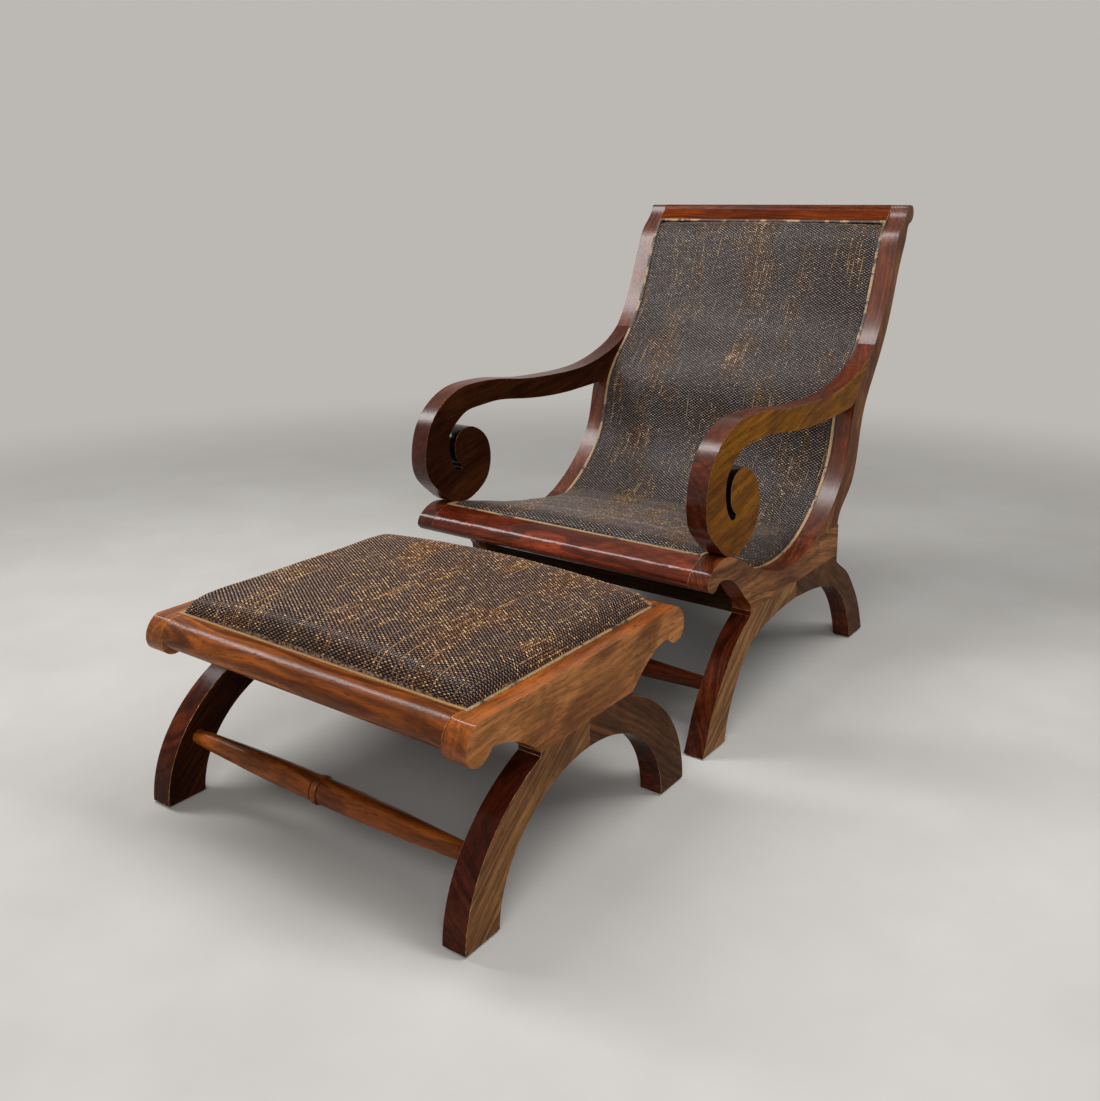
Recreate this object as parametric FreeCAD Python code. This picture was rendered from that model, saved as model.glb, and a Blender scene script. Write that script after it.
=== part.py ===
"""Planters chair with its matching footstool: timber frames, turned stretchers, woven pads.

Millimetres, +Z up, the floor at Z = 0. The chair faces -Y and +X is the sitter's left.
The origin is the middle of the floor rectangle that the chair and its footstool cover.
"""

import FreeCAD
import Part

import math
import os

from FreeCAD import Vector

os.makedirs("parts", exist_ok=True)

# Overall sizes of the chair
chair_width = 660.0
chair_depth = 953.0
chair_height = 950.0
side_thickness = 38.0
glide_thickness = 3.0
glide_inset = 4.0

# Overall sizes of the footstool and the floor between its rear feet and the chair's front feet
stool_width = 660.0
stool_depth = 568.0
stool_height = 315.0
stool_side_thickness = 40.0
stool_to_chair_gap = 73.0

# Places along Y of the front feet
whole_depth = stool_depth + stool_to_chair_gap + chair_depth
stool_front = -whole_depth / 2
chair_front = stool_front + stool_depth + stool_to_chair_gap

# Sitting line of the chair, seen from the side: over the seat its points are shares of the board's
# length and the hump's height, and up the back they are shares of the run and rise to the crest
board_length = 588.0
hump_height = 352.0
seat_line_shares = [
    (0.0308, 0.9662), (0.107, 1.0013), (0.1929, 0.9581), (0.3193, 0.8528), (0.4554, 0.7692),
    (0.5916, 0.7449), (0.7115, 0.7665), (0.8298, 0.842), (0.9319, 0.9581),
]
back_line_shares = [
    (0.1402, 0.0902), (0.2302, 0.212), (0.2672, 0.3133), (0.3386, 0.3877), (0.4497, 0.462),
    (0.5899, 0.5538), (0.709, 0.6788), (0.7778, 0.7785), (0.8413, 0.8703), (0.9286, 0.9557),
    (1.0, 1.0),
]

# Seat board: its nose, hollow underside and seams, with outline points as shares of these sizes
nose_depth = 42.0
nose_height = 40.0
leg_seam_height = 222.0
underside_run = 131.0
post_seam_drop = 49.0
nose_shares = [
    (0.0, 0.0), (-0.21, -0.15), (-0.36, -0.38), (-0.42, -0.58), (-0.31, -0.78),
    (-0.07, -0.95), (0.14, -0.99), (0.38, -0.88), (0.57, -0.70),
]
underside_shares = [
    (0.0, 0.0), (0.046, -0.017), (0.24, 0.02), (0.43, 0.14), (0.62, 0.36), (0.81, 0.63),
    (0.92, 0.77), (0.985, 0.88), (1.0, 1.0),
]

# Back post: how wide it is behind the sitting line, and the rounded crest at its top
post_width = 52.0
crest_depth = 45.0
crest_drop = 42.0
post_foot_inset = 6.0
front_stations = 16
post_width_stations_share = [0.0, 0.1402, 0.2302, 0.2884, 0.3386, 0.4497, 0.5899, 0.709, 0.8413, 0.918]
post_width_shares = [1.06, 1.10, 1.03, 1.10, 1.06, 0.96, 0.83, 0.81, 0.86, 0.82]
crest_shares = [
    (0.0, 0.0), (0.13, 0.26), (0.49, 0.29), (0.82, 0.23), (1.0, -0.07), (0.89, -0.43),
    (0.62, -0.62), (0.40, -0.71),
]

# Legs of the chair: feet, the joint between them and the shoulders under the seat board
front_foot_length = 84.0
rear_foot_length = 72.0
rear_foot_back = 760.0
leg_joint_depth = 376.0
arch_height = 188.0
front_shoulder_drop = 10.0
rear_shoulder_drop = 16.0
front_leg_outer_shares = [
    (0.0, 0.0), (0.058, 0.104), (0.162, 0.307), (0.277, 0.462), (0.451, 0.644),
    (0.624, 0.802), (0.798, 0.910), (1.0, 1.0),
]
front_arch_shares = [
    (1.0, 0.0), (0.966, 0.239), (0.870, 0.513), (0.751, 0.745), (0.614, 0.878),
    (0.410, 0.952), (0.205, 0.989), (0.0, 1.0),
]
rear_leg_outer_shares = [
    (0.0, 0.0), (0.03, 0.07), (0.10, 0.22), (0.19, 0.37), (0.32, 0.52), (0.49, 0.69),
    (0.64, 0.81), (0.845, 0.917), (1.0, 1.0),
]
rear_arch_shares = [
    (1.0, 0.0), (0.965, 0.186), (0.904, 0.394), (0.833, 0.559), (0.744, 0.702),
    (0.641, 0.814), (0.513, 0.883), (0.32, 0.947), (0.0, 1.0),
]

# Arm: it leaves the post at the top of its joint and runs forward and down into its scroll, which
# rests on the hump of the seat board
arm_joint_run = 384.0
arm_length = 760.0
arm_rest_run = 665.0
arm_rest_share = 0.993
arm_rest_clearance = 0.2
arm_shares = [
    (-0.033, -0.056), (0.0, 0.0), (0.020, 0.039), (0.066, 0.108), (0.145, 0.183),
    (0.250, 0.242), (0.355, 0.261), (0.487, 0.258), (0.592, 0.243), (0.697, 0.212),
    (0.776, 0.206), (0.855, 0.222), (0.921, 0.288), (0.976, 0.418), (1.0, 0.605),
    (0.989, 0.775), (0.947, 0.882), (0.901, 0.967), (0.849, 1.002), (0.796, 0.967),
    (0.747, 0.876), (0.732, 0.742), (0.745, 0.614), (0.789, 0.520), (0.839, 0.497),
    (0.876, 0.552), (0.883, 0.644), (0.868, 0.725), (0.854, 0.765), (0.866, 0.781),
    (0.881, 0.765), (0.897, 0.716), (0.908, 0.631), (0.904, 0.523), (0.875, 0.448),
    (0.836, 0.391), (0.776, 0.370), (0.711, 0.361), (0.592, 0.387), (0.487, 0.410),
    (0.329, 0.415), (0.224, 0.402), (0.138, 0.373), (0.099, 0.310),
]

# Woven panel of the chair, with the strips, slats and cleats that hold it, depths from the sitting line
front_rail_run = 33.4
top_rail_run = 31.5
bead_width = 6.0
bead_proud = 1.5
pad_depth = 20.0
pad_clearance = 0.5
pad_side_draw = 4.0
pad_edge_drop = 1.5
pad_shoulder = 3.0
pad_shoulder_inset = 26.0
pad_crown = 11.0
pad_roll = 34.0
pad_roll_shares = [0.0, 0.08, 0.25, 0.55]
pad_end_share = 0.3
pad_stations = 30
fill_span_share = (0.105, 0.816)
fill_share = 0.8
line_stations = 40
slat_stations = 4
slat_share = 0.5
slat_thickness = 10.0
slat_count = 12
cleat_thickness = 9.0
cleat_width = 16.0
cleat_front = 150.0

# Cross rails of the chair
under_rail_thickness = 25.0
under_rail_overhang = 10.0
under_rail_gap = 2.0
front_under_rail_depth = 173.0
rear_under_rail_inset = 1.0
rear_under_rail_height = 68.0
corner_block_size = 34.0
corner_block_height = 36.0
front_block_height = 24.0
stool_block_height = 25.0

# Turned stretchers
stretcher_end_diameter = 25.0
stretcher_swell_diameter = 40.0
stretcher_ring_diameter = 44.0
stretcher_ring_width = 12.0
stretcher_groove_diameter = 34.0
stretcher_groove_width = 3.0
stretcher_tenon_diameter = 18.0
stretcher_tenon_length = 24.0
stretcher_arm_shares = [(0.0, 1.0), (0.25, 0.96), (0.5, 0.72), (0.75, 0.35), (1.0, 0.0)]
stretcher_ring_share = 0.8
chair_stretcher_depth = 88.0
chair_stretcher_height = 100.0
stool_stretcher_depth = 64.0
stool_stretcher_height = 100.0

# Side frames of the footstool
stool_nose_inset = 7.0
stool_nose_depth = 53.0
stool_nose_height = 60.0
stool_leg_seam_height = 219.0
stool_leg_seam_inset = 165.0
stool_foot_length = 71.0
stool_leg_outer_height = 233.0
stool_arch_height = 177.0
arch_stations = 7
stool_nose_shares = [
    (0.43, 1.0), (0.11, 0.75), (0.0, 0.48), (0.04, 0.22), (0.19, 0.07), (0.47, 0.0),
    (0.74, 0.07), (1.0, 0.27),
]
stool_rail_shares = [(0.43, 1.0), (0.11, 0.75), (0.0, 0.46), (0.04, 0.2), (0.2, 0.03), (0.35, 0.0)]
stool_underside_shares = [(0.0, 0.0), (0.19, 0.06), (0.42, 0.21), (0.77, 0.63), (1.0, 1.0)]

# Cross rails, base panel, strips and pad of the footstool
stool_top_ledge = 31.0
stool_rail_ledge = 40.0
stool_rabbet_width = 9.0
stool_rabbet_depth = 24.0
stool_panel_thickness = 9.0
stool_rail_height = 46.0
stool_bead_proud = 2.0
stool_pad_edge = 13.0
stool_pad_shoulder = 42.0
stool_pad_crown = 13.0
stool_pad_stations = 5

# Dowels and the play round each in its bores
dowel_diameter = 8.0
dowel_length = 34.0
dowel_play = 0.1
rail_dowel_shares = [0.25, 0.65]
seam_dowel_shares = [0.28, 0.77]
post_dowel_insets = [33.0, 78.0]
arm_dowel_runs = [93.0, 125.0]
stool_seam_dowel_shares = [0.22, 0.72]

# One overrun serves every cut that passes through a face
overrun = 5.0

side_inner = chair_width / 2 - side_thickness
stool_side_inner = stool_width / 2 - stool_side_thickness
pieces = {}


def spline(points):
    """One smooth edge through the points."""
    curve = Part.BSplineCurve()
    curve.interpolate(points)
    return curve


def chair_point(depth, height):
    """A point in the middle plane, at a depth behind the chair's front feet."""
    return Vector(0, chair_front + depth, height)


def stool_point(depth, height):
    """A point in the middle plane, at a depth behind the footstool's front feet."""
    return Vector(0, stool_front + depth, height)


def line(start, end):
    return Part.makeLine(start, end)


def plate(edges, inner, thickness):
    """A flat board cut to an outline, from its inner face outward along +X."""
    wire = Part.Wire(Part.__sortEdges__(edges))
    face = Part.Face(wire)
    face.translate(Vector(inner, 0, 0))
    return face.extrude(Vector(thickness, 0, 0))


def mirrored(shape):
    """The same piece for the other side."""
    return shape.mirror(Vector(0, 0, 0), Vector(1, 0, 0))


def box(x_from, x_to, y_from, y_to, z_from, z_to):
    corner = Vector(x_from, y_from, z_from)
    return Part.makeBox(x_to - x_from, y_to - y_from, z_to - z_from, corner)


# The sitting line carries the seat boards, posts, woven panel, strips, slats and cleats
seat_points = [chair_point(y * board_length, z * hump_height) for y, z in seat_line_shares]
dip_point = min(seat_points, key=lambda point: point.z)
bend_point = seat_points[-1]
crest_rise = crest_drop * max(z for y, z in crest_shares)
line_top = chair_point(chair_depth - crest_depth, chair_height - crest_rise)
back_points = [
    bend_point + Vector(0, y * (line_top.y - bend_point.y), z * (line_top.z - bend_point.z))
    for y, z in back_line_shares
]
sitting_line = spline(seat_points + back_points)
post_seam_height = bend_point.z - post_seam_drop


def parameter_at_depth(depth):
    """Where the sitting line passes a depth, found by halving: it only ever runs backward."""
    low = sitting_line.FirstParameter
    high = sitting_line.LastParameter
    for step in range(40):
        middle = (low + high) / 2
        if sitting_line.value(middle).y < chair_front + depth:
            low = middle
        else:
            high = middle
    return low


def below_line(parameter, depth):
    """The point a given depth under or behind the sitting line, square to it."""
    tangent = sitting_line.tangent(parameter)[0]
    normal = Vector(0, tangent.z, -tangent.y)
    return sitting_line.value(parameter) + normal * depth


def offset_edge(start, end, depth, stations):
    """A smooth edge that keeps its depth from the sitting line between two parameters."""
    steps = [start + (end - start) * i / (stations - 1) for i in range(stations)]
    return spline([below_line(step, depth) for step in steps]).toShape()


def band(start, end, top_depth, bottom_depth, stations, inner, thickness):
    """A strip that follows the sitting line between two depths."""
    top = offset_edge(start, end, top_depth, stations)
    bottom = offset_edge(start, end, bottom_depth, stations)
    ends = [
        line(below_line(start, top_depth), below_line(start, bottom_depth)),
        line(below_line(end, top_depth), below_line(end, bottom_depth)),
    ]
    return plate([top, bottom] + ends, inner, thickness)


line_start = sitting_line.FirstParameter
line_end = sitting_line.LastParameter
line_length = sitting_line.length(line_start, line_end)
opening_start = sitting_line.parameterAtDistance(front_rail_run, line_start)
opening_end = sitting_line.parameterAtDistance(line_length - top_rail_run, line_start)
woven_length = sitting_line.length(opening_start, opening_end)
dip_parameter = parameter_at_depth(dip_point.y - chair_front)
bend_parameter = parameter_at_depth(bend_point.y - chair_front)

# Nose of the seat boards and of the front seat rail
nose_top = sitting_line.value(line_start)
nose_points = [nose_top + Vector(0, y * nose_depth, z * nose_height) for y, z in nose_shares]
nose_heel = nose_points[-1]
nose_edge = spline(nose_points).toShape()
underside_fall = nose_heel.z - leg_seam_height
underside_points = [
    nose_heel + Vector(0, y * underside_run, -z * underside_fall) for y, z in underside_shares
]
seam_front = underside_points[-1]


def seat_board():
    """Horizontal board of one side: nose, hump and dip of the seat, flat seam over the legs."""
    back_parameter = parameter_at_depth(board_length)
    back_top = sitting_line.value(back_parameter)
    back_bottom = Vector(0, back_top.y, leg_seam_height)
    edges = [
        nose_edge,
        spline(underside_points).toShape(),
        line(seam_front, back_bottom),
        line(back_bottom, back_top),
        sitting_line.toShape(line_start, back_parameter),
    ]
    board = plate(edges, side_inner, side_thickness)
    above_seam = box(
        side_inner - overrun, chair_width / 2 + overrun,
        dip_point.y, chair_front + chair_depth, post_seam_height, chair_height,
    )
    board = board.cut(above_seam)
    return board.Solids[0]


def rear_edge_points():
    """Rear edge of the post, from the foot up: post widths behind the sitting line."""
    points = [chair_point(board_length - post_foot_inset, post_seam_height - overrun)]
    for station, width_share in zip(post_width_stations_share, post_width_shares):
        place = bend_point.y + station * (line_top.y - bend_point.y)
        parameter = parameter_at_depth(place - chair_front)
        points.append(below_line(parameter, post_width * width_share))
    return points


crest_front = sitting_line.value(line_end)
crest_points = [crest_front + Vector(0, y * crest_depth, z * crest_drop) for y, z in crest_shares]


def upright_outline(start, rear_points):
    """Front, crest and rear edge of the post above a place on the sitting line, as one smooth edge."""
    steps = [start + (line_end - start) * i / front_stations for i in range(front_stations)]
    points = [sitting_line.value(step) for step in steps] + crest_points + rear_points[::-1]
    return [spline(points).toShape(), line(points[-1], points[0])]


def back_post():
    """Curved rear upright of one side, from its seam on the seat board to the rounded crest."""
    post = plate(upright_outline(dip_parameter, rear_edge_points()), side_inner, side_thickness)
    below_seam = box(
        side_inner - overrun, chair_width / 2 + overrun,
        chair_front, chair_front + chair_depth, 0, post_seam_height,
    )
    post = post.cut(below_seam)
    return post.Solids[0]


# The arm drops from the top of its joint to where its scroll rests on the seat board
arm_joint = sitting_line.parameterAtDistance(arm_joint_run, bend_parameter)
arm_root = sitting_line.value(arm_joint)
arm_rest = sitting_line.value(parameter_at_depth(arm_root.y - arm_rest_run - chair_front))
arm_drop = (arm_root.z - arm_rest.z - arm_rest_clearance) / arm_rest_share


def arm_point(shares):
    """A point of the arm, forward of and below the top of its joint."""
    return arm_root - Vector(0, shares[0] * arm_length, shares[1] * arm_drop)


def arm(post, board):
    """Scrolled arm of one side, butted to the post and resting on the hump of the seat board."""
    outline = spline([arm_point(shares) for shares in arm_shares])
    root = line(outline.value(outline.LastParameter), outline.value(outline.FirstParameter))
    return plate([outline.toShape(), root], side_inner, side_thickness).cut(post).cut(board)


def front_leg():
    """Front half of one arched leg pair."""
    foot_tip = chair_point(0, glide_thickness)
    shoulder = Vector(0, seam_front.y, leg_seam_height - front_shoulder_drop)
    run = shoulder.y - foot_tip.y
    rise = shoulder.z - foot_tip.z
    outer = [foot_tip + Vector(0, y * run, z * rise) for y, z in front_leg_outer_shares]
    arch_run = leg_joint_depth - front_foot_length
    arch_rise = arch_height - glide_thickness
    crown = chair_point(leg_joint_depth, glide_thickness)
    inner = [crown + Vector(0, -y * arch_run, z * arch_rise) for y, z in front_arch_shares]
    joint_top = chair_point(leg_joint_depth, leg_seam_height)
    edges = [
        spline(outer).toShape(),
        line(shoulder, seam_front),
        line(seam_front, joint_top),
        line(joint_top, inner[-1]),
        spline(inner).toShape(),
        line(inner[0], foot_tip),
    ]
    return plate(edges, side_inner, side_thickness)


def rear_leg():
    """Rear half of one arched leg pair."""
    foot_tip = chair_point(rear_foot_back, glide_thickness)
    seam_back = Vector(0, chair_front + board_length, leg_seam_height)
    shoulder = seam_back - Vector(0, 0, rear_shoulder_drop)
    run = foot_tip.y - shoulder.y
    rise = shoulder.z - foot_tip.z
    outer = [foot_tip + Vector(0, -y * run, z * rise) for y, z in rear_leg_outer_shares]
    arch_run = rear_foot_back - rear_foot_length - leg_joint_depth
    arch_rise = arch_height - glide_thickness
    crown = chair_point(leg_joint_depth, glide_thickness)
    inner = [crown + Vector(0, y * arch_run, z * arch_rise) for y, z in rear_arch_shares]
    joint_top = chair_point(leg_joint_depth, leg_seam_height)
    edges = [
        spline(outer).toShape(),
        line(shoulder, seam_back),
        line(seam_back, joint_top),
        line(joint_top, inner[-1]),
        spline(inner).toShape(),
        line(inner[0], foot_tip),
    ]
    return plate(edges, side_inner, side_thickness)


def front_seat_rail():
    """Nosed rail across the front of the seat, with the same nose as the side boards."""
    top_back = sitting_line.value(opening_start)
    bottom_back = Vector(0, top_back.y, nose_heel.z)
    edges = [
        nose_edge,
        sitting_line.toShape(line_start, opening_start),
        line(top_back, bottom_back),
        line(bottom_back, nose_heel),
    ]
    return plate(edges, -side_inner, 2 * side_inner)


def top_rail():
    """Rail across the top of the back, with the same crest as the posts, square to the panel under it."""
    rear_points = [point for point in rear_edge_points() if point.z > below_line(opening_end, post_width).z]
    crest, closing = upright_outline(opening_end, rear_points)
    heel = below_line(opening_end, pad_depth + slat_thickness)
    edges = [crest, line(closing.Vertexes[0].Point, heel), line(heel, closing.Vertexes[-1].Point)]
    return plate(edges, -side_inner, 2 * side_inner)


def under_rail(depth, top):
    """Straight rail between the side frames under the seat."""
    front = chair_front + depth
    bottom = leg_seam_height - under_rail_overhang
    return box(-side_inner, side_inner, front, front + under_rail_thickness, bottom, top)


def slat(index):
    """One curved slat of the row that carries the woven panel."""
    pitch = woven_length / slat_count
    middle = pitch * (index + 1 / 2)
    half = pitch * slat_share / 2
    start = sitting_line.parameterAtDistance(middle - half, opening_start)
    end = sitting_line.parameterAtDistance(middle + half, opening_start)
    outside = pad_depth + slat_thickness
    return band(start, end, pad_depth, outside, slat_stations, -side_inner, 2 * side_inner)


def cleat():
    """Long batten on the inside of one side frame, under the ends of the slats."""
    start = parameter_at_depth(cleat_front)
    outside = pad_depth + slat_thickness + cleat_thickness
    return band(
        start, opening_end, pad_depth + slat_thickness, outside,
        line_stations, side_inner - cleat_width, cleat_width,
    )


def side_bead():
    """Rattan strip between one side frame and the edge of the woven panel."""
    return band(
        opening_start, opening_end, -bead_proud, pad_depth,
        line_stations, side_inner - bead_width, bead_width,
    )


def cross_bead(start, end):
    """Rattan strip across one end of the woven panel, between the side strips."""
    half = side_inner - bead_width
    return band(start, end, -bead_proud, pad_depth, slat_stations, -half, 2 * half)


def pad_section(centre, across, up, half, levels):
    """Closed section of a stuffed pad: flat base, sides drawn in below, rolled edges, crowned top."""
    low, edge, shoulder, crown = levels
    rise = shoulder - edge
    inset = min(pad_shoulder_inset, rise)
    radius = (inset ** 2 + rise ** 2) / (2 * inset)
    angle = math.atan2(rise, radius - inset) / 2
    bulge_x = half - radius + radius * math.cos(angle)
    bulge_z = edge + radius * math.sin(angle)
    right = [
        centre + across * x + up * z
        for x, z in ((half - pad_side_draw, low), (half, edge), (bulge_x, bulge_z), (half - inset, shoulder))
    ]
    left = [
        centre - across * x + up * z
        for x, z in ((half - pad_side_draw, low), (half, edge), (bulge_x, bulge_z), (half - inset, shoulder))
    ]
    return Part.Wire([
        line(left[0], right[0]),
        line(right[0], right[1]),
        Part.Arc(right[1], right[2], right[3]).toShape(),
        Part.Arc(right[3], centre + up * (shoulder + crown), left[3]).toShape(),
        Part.Arc(left[3], left[2], left[1]).toShape(),
        line(left[1], left[0]),
    ])


def rolled(distance, length):
    """How high a pad stands at a distance along it: rolled over at both ends, full between them."""
    near = min(distance, length - distance)
    if near > pad_roll:
        return 1
    return pad_end_share + (1 - pad_end_share) * math.sqrt(1 - (1 - near / pad_roll) ** 2)


def pad_distances(length, count):
    """Places of the sections along a pad: close together in the rolled ends, even between them."""
    ends = [pad_roll * share for share in pad_roll_shares]
    middle = [pad_roll + (length - 2 * pad_roll) * i / count for i in range(count + 1)]
    return ends + middle + [length - distance for distance in ends[::-1]]


def chair_pad():
    """Continuous stuffed woven panel of the seat and back, filling most of the dip of the seat."""
    gap = bead_width + pad_clearance
    length = woven_length - 2 * gap
    hump, bend = (sitting_line.value(parameter_at_depth(share * board_length)) for share in fill_span_share)
    low = pad_clearance - pad_depth
    sections = []
    for distance in pad_distances(length, pad_stations):
        parameter = sitting_line.parameterAtDistance(gap + distance, opening_start)
        point = sitting_line.value(parameter)
        tangent = sitting_line.tangent(parameter)[0]
        up = Vector(0, -tangent.z, tangent.y)
        along = (point.y - hump.y) / (bend.y - hump.y)
        dip = 0
        if 0 < along < 1:
            dip = (hump.z + (bend.z - hump.z) * along - point.z) * fill_share
        height = rolled(distance, length)
        edge = low + (pad_depth - pad_edge_drop) * height
        shoulder = edge + (pad_edge_drop + pad_shoulder + dip) * height
        levels = (low, edge, shoulder, pad_crown * height)
        sections.append(pad_section(point, tangent.cross(up), up, side_inner - gap, levels))
    return Part.makeLoft(sections, True, False)


def stretcher(span, middle):
    """Turned stretcher: round tenons, tapered arms, a ring between two grooves at the middle."""
    half = span / 2
    ring_half = stretcher_ring_width / 2
    groove_end = ring_half + stretcher_groove_width
    swell = stretcher_swell_diameter / 2
    end = stretcher_end_diameter / 2
    groove = stretcher_groove_diameter / 2
    ring = stretcher_ring_diameter / 2
    tenon = stretcher_tenon_diameter / 2
    tip = half + stretcher_tenon_length
    reach = half - groove_end
    crest = Vector(0, 0, ring)
    shoulder_of_ring = Vector(ring_half * stretcher_ring_share, 0, groove + (ring - groove) * stretcher_ring_share)
    ring_foot = Vector(ring_half, 0, groove)
    half_outline = [ring_foot, Vector(groove_end, 0, groove), Vector(groove_end, 0, swell)]
    edges = [line(Vector(0, 0, 0), crest), Part.Arc(crest, shoulder_of_ring, ring_foot).toShape()]
    edges += [line(a, b) for a, b in zip(half_outline, half_outline[1:])]
    shoulder = Vector(half, 0, end)
    arm_points = [
        Vector(groove_end + reach * along, 0, end + (swell - end) * fullness)
        for along, fullness in stretcher_arm_shares
    ]
    edges.append(spline(arm_points).toShape())
    tail = [shoulder, Vector(half, 0, tenon), Vector(tip, 0, tenon), Vector(tip, 0, 0), Vector(0, 0, 0)]
    edges += [line(a, b) for a, b in zip(tail, tail[1:])]
    profile = Part.Face(Part.Wire(edges))
    right = profile.revolve(Vector(0, 0, 0), Vector(1, 0, 0), 360)
    whole = right.fuse(mirrored(right)).removeSplitter()
    whole.translate(middle)
    return whole


def tenon_bore(span, middle):
    """The round hole through both legs that a stretcher's tenons fill."""
    reach = span / 2 + stretcher_tenon_length
    radius = stretcher_tenon_diameter / 2
    return Part.makeCylinder(radius, 2 * reach, middle - Vector(reach, 0, 0), Vector(1, 0, 0))


def corner_block(x, y, size, z_from, height):
    """Three-sided glue block in a corner; size is signed along X and Y, towards the middle."""
    corner = Vector(x, y, z_from)
    points = [corner, corner + Vector(size[0], 0, 0), corner + Vector(0, size[1], 0), corner]
    face = Part.Face(Part.makePolygon(points))
    return face.extrude(Vector(0, 0, height))


def glide(front, length, outer, thickness):
    """Thin pad under one foot, inset from the edges of the foot."""
    return box(
        outer - thickness + glide_inset, outer - glide_inset,
        front + glide_inset, front + length - glide_inset, 0, glide_thickness,
    )


# Side frames of the footstool
def stool_board():
    """Straight side board of the footstool: nosed and hollowed alike at both ends."""
    nose_base = stool_height - stool_nose_height
    front = [
        stool_point(stool_nose_inset + y * stool_nose_depth, nose_base + z * stool_nose_height)
        for y, z in stool_nose_shares
    ]
    heel = front[-1]
    seam = stool_point(stool_leg_seam_inset, stool_leg_seam_height)
    hollow = [
        heel + Vector(0, y * (seam.y - heel.y), z * (seam.z - heel.z)) for y, z in stool_underside_shares
    ]
    rear = [turned_about_stool(point) for point in front[::-1]]
    rear_hollow = [turned_about_stool(point) for point in hollow[::-1]]
    edges = [
        spline(front).toShape(),
        spline(hollow).toShape(),
        line(hollow[-1], rear_hollow[0]),
        spline(rear_hollow).toShape(),
        spline(rear).toShape(),
        line(rear[-1], front[0]),
    ]
    return plate(edges, stool_side_inner, stool_side_thickness).cut(stool_rabbet())


def turned_about_stool(point):
    """The matching point at the other end of the footstool."""
    return Vector(0, 2 * stool_front + stool_depth - point.y, point.z)


def stool_rabbet():
    """The step round the inside of the stool's frame that the base panel lies in."""
    half = stool_width / 2 - stool_top_ledge
    front = stool_front + stool_nose_inset + stool_rail_ledge
    back = stool_front + stool_depth - stool_nose_inset - stool_rail_ledge
    return box(-half, half, front, back, stool_height - stool_rabbet_depth, stool_height + overrun)


def stool_front_leg():
    """Front half of one arched leg pair of the footstool, outside and inside a part of an ellipse."""
    middle = stool_point(stool_depth / 2, glide_thickness)
    half = stool_depth / 2
    shoulder_y = stool_front + stool_leg_seam_inset
    share = (middle.y - shoulder_y) / half
    shoulder = Vector(0, shoulder_y, glide_thickness + (stool_leg_outer_height - glide_thickness) * math.sqrt(1 - share ** 2))
    outer = [
        middle + Vector(0, -half * math.cos(angle), (stool_leg_outer_height - glide_thickness) * math.sin(angle))
        for angle in arch_angles(math.acos(share))
    ]
    inner_half = half - stool_foot_length
    inner = [
        middle + Vector(0, -inner_half * math.cos(angle), (stool_arch_height - glide_thickness) * math.sin(angle))
        for angle in arch_angles(math.pi / 2)
    ]
    seam_front_point = Vector(0, shoulder_y, stool_leg_seam_height)
    joint_top = Vector(0, middle.y, stool_leg_seam_height)
    edges = [
        spline(outer).toShape(),
        line(outer[-1], seam_front_point),
        line(seam_front_point, joint_top),
        line(joint_top, inner[-1]),
        spline(inner).toShape(),
        line(inner[0], outer[0]),
    ]
    return plate(edges, stool_side_inner, stool_side_thickness)


def arch_angles(end):
    """Evenly spaced angles along an arch, from the foot up."""
    return [end * i / arch_stations for i in range(arch_stations + 1)]


def stool_rail():
    """Front rail of the footstool, nosed in front and stepped behind for the base panel."""
    nose_base = stool_height - stool_rail_height
    front = [
        stool_point(stool_nose_inset + y * stool_nose_depth, nose_base + z * stool_rail_height)
        for y, z in stool_rail_shares
    ]
    back = stool_front + stool_nose_inset + stool_rail_ledge + stool_rabbet_width
    top_back = Vector(0, back, stool_height)
    bottom_back = Vector(0, back, nose_base)
    edges = [
        spline(front).toShape(),
        line(front[-1], bottom_back),
        line(bottom_back, top_back),
        line(top_back, front[0]),
    ]
    return plate(edges, -stool_side_inner, 2 * stool_side_inner).cut(stool_rabbet())


def turned_piece(shape):
    """The same piece at the other end of the footstool."""
    middle = Vector(0, stool_front + stool_depth / 2, 0)
    return shape.mirror(middle, Vector(0, 1, 0))


def stool_bead_strips():
    """Four rattan strips on the base panel, between the frame and the edge of the pad."""
    half = stool_width / 2 - stool_top_ledge
    front = stool_front + stool_nose_inset + stool_rail_ledge
    back = stool_front + stool_depth - stool_nose_inset - stool_rail_ledge
    low = stool_height - stool_rabbet_depth + stool_panel_thickness
    top = stool_height + stool_bead_proud
    side = box(half - bead_width, half, front, back, low, top)
    across = box(bead_width - half, half - bead_width, front, front + bead_width, low, top)
    return side, across


def stool_pad():
    """Stuffed woven pad of the footstool, rolled over all round on its base panel."""
    half = stool_width / 2 - stool_top_ledge - bead_width - pad_clearance
    inset = stool_nose_inset + stool_rail_ledge + bead_width + pad_clearance
    length = stool_depth - 2 * inset
    base = stool_height - stool_rabbet_depth + stool_panel_thickness + pad_clearance
    sections = []
    for distance in pad_distances(length, stool_pad_stations):
        height = rolled(distance, length)
        levels = [level * height for level in (0, stool_pad_edge, stool_pad_shoulder, stool_pad_crown)]
        place = Vector(0, stool_front + inset + distance, base)
        sections.append(pad_section(place, Vector(1, 0, 0), Vector(0, 0, 1), half, levels))
    return Part.makeLoft(sections, True, False)


def pin(middle, axis):
    """One dowel, centred on the face between the two pieces that it joins."""
    start = middle - axis * (dowel_length / 2)
    return Part.makeCylinder(dowel_diameter / 2, dowel_length, start, axis)


def pin_bore(middle, axis):
    """The hole for one dowel, with its play all round and at both ends."""
    reach = dowel_length / 2 + dowel_play
    return Part.makeCylinder(dowel_diameter / 2 + dowel_play, 2 * reach, middle - axis * reach, axis)


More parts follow.
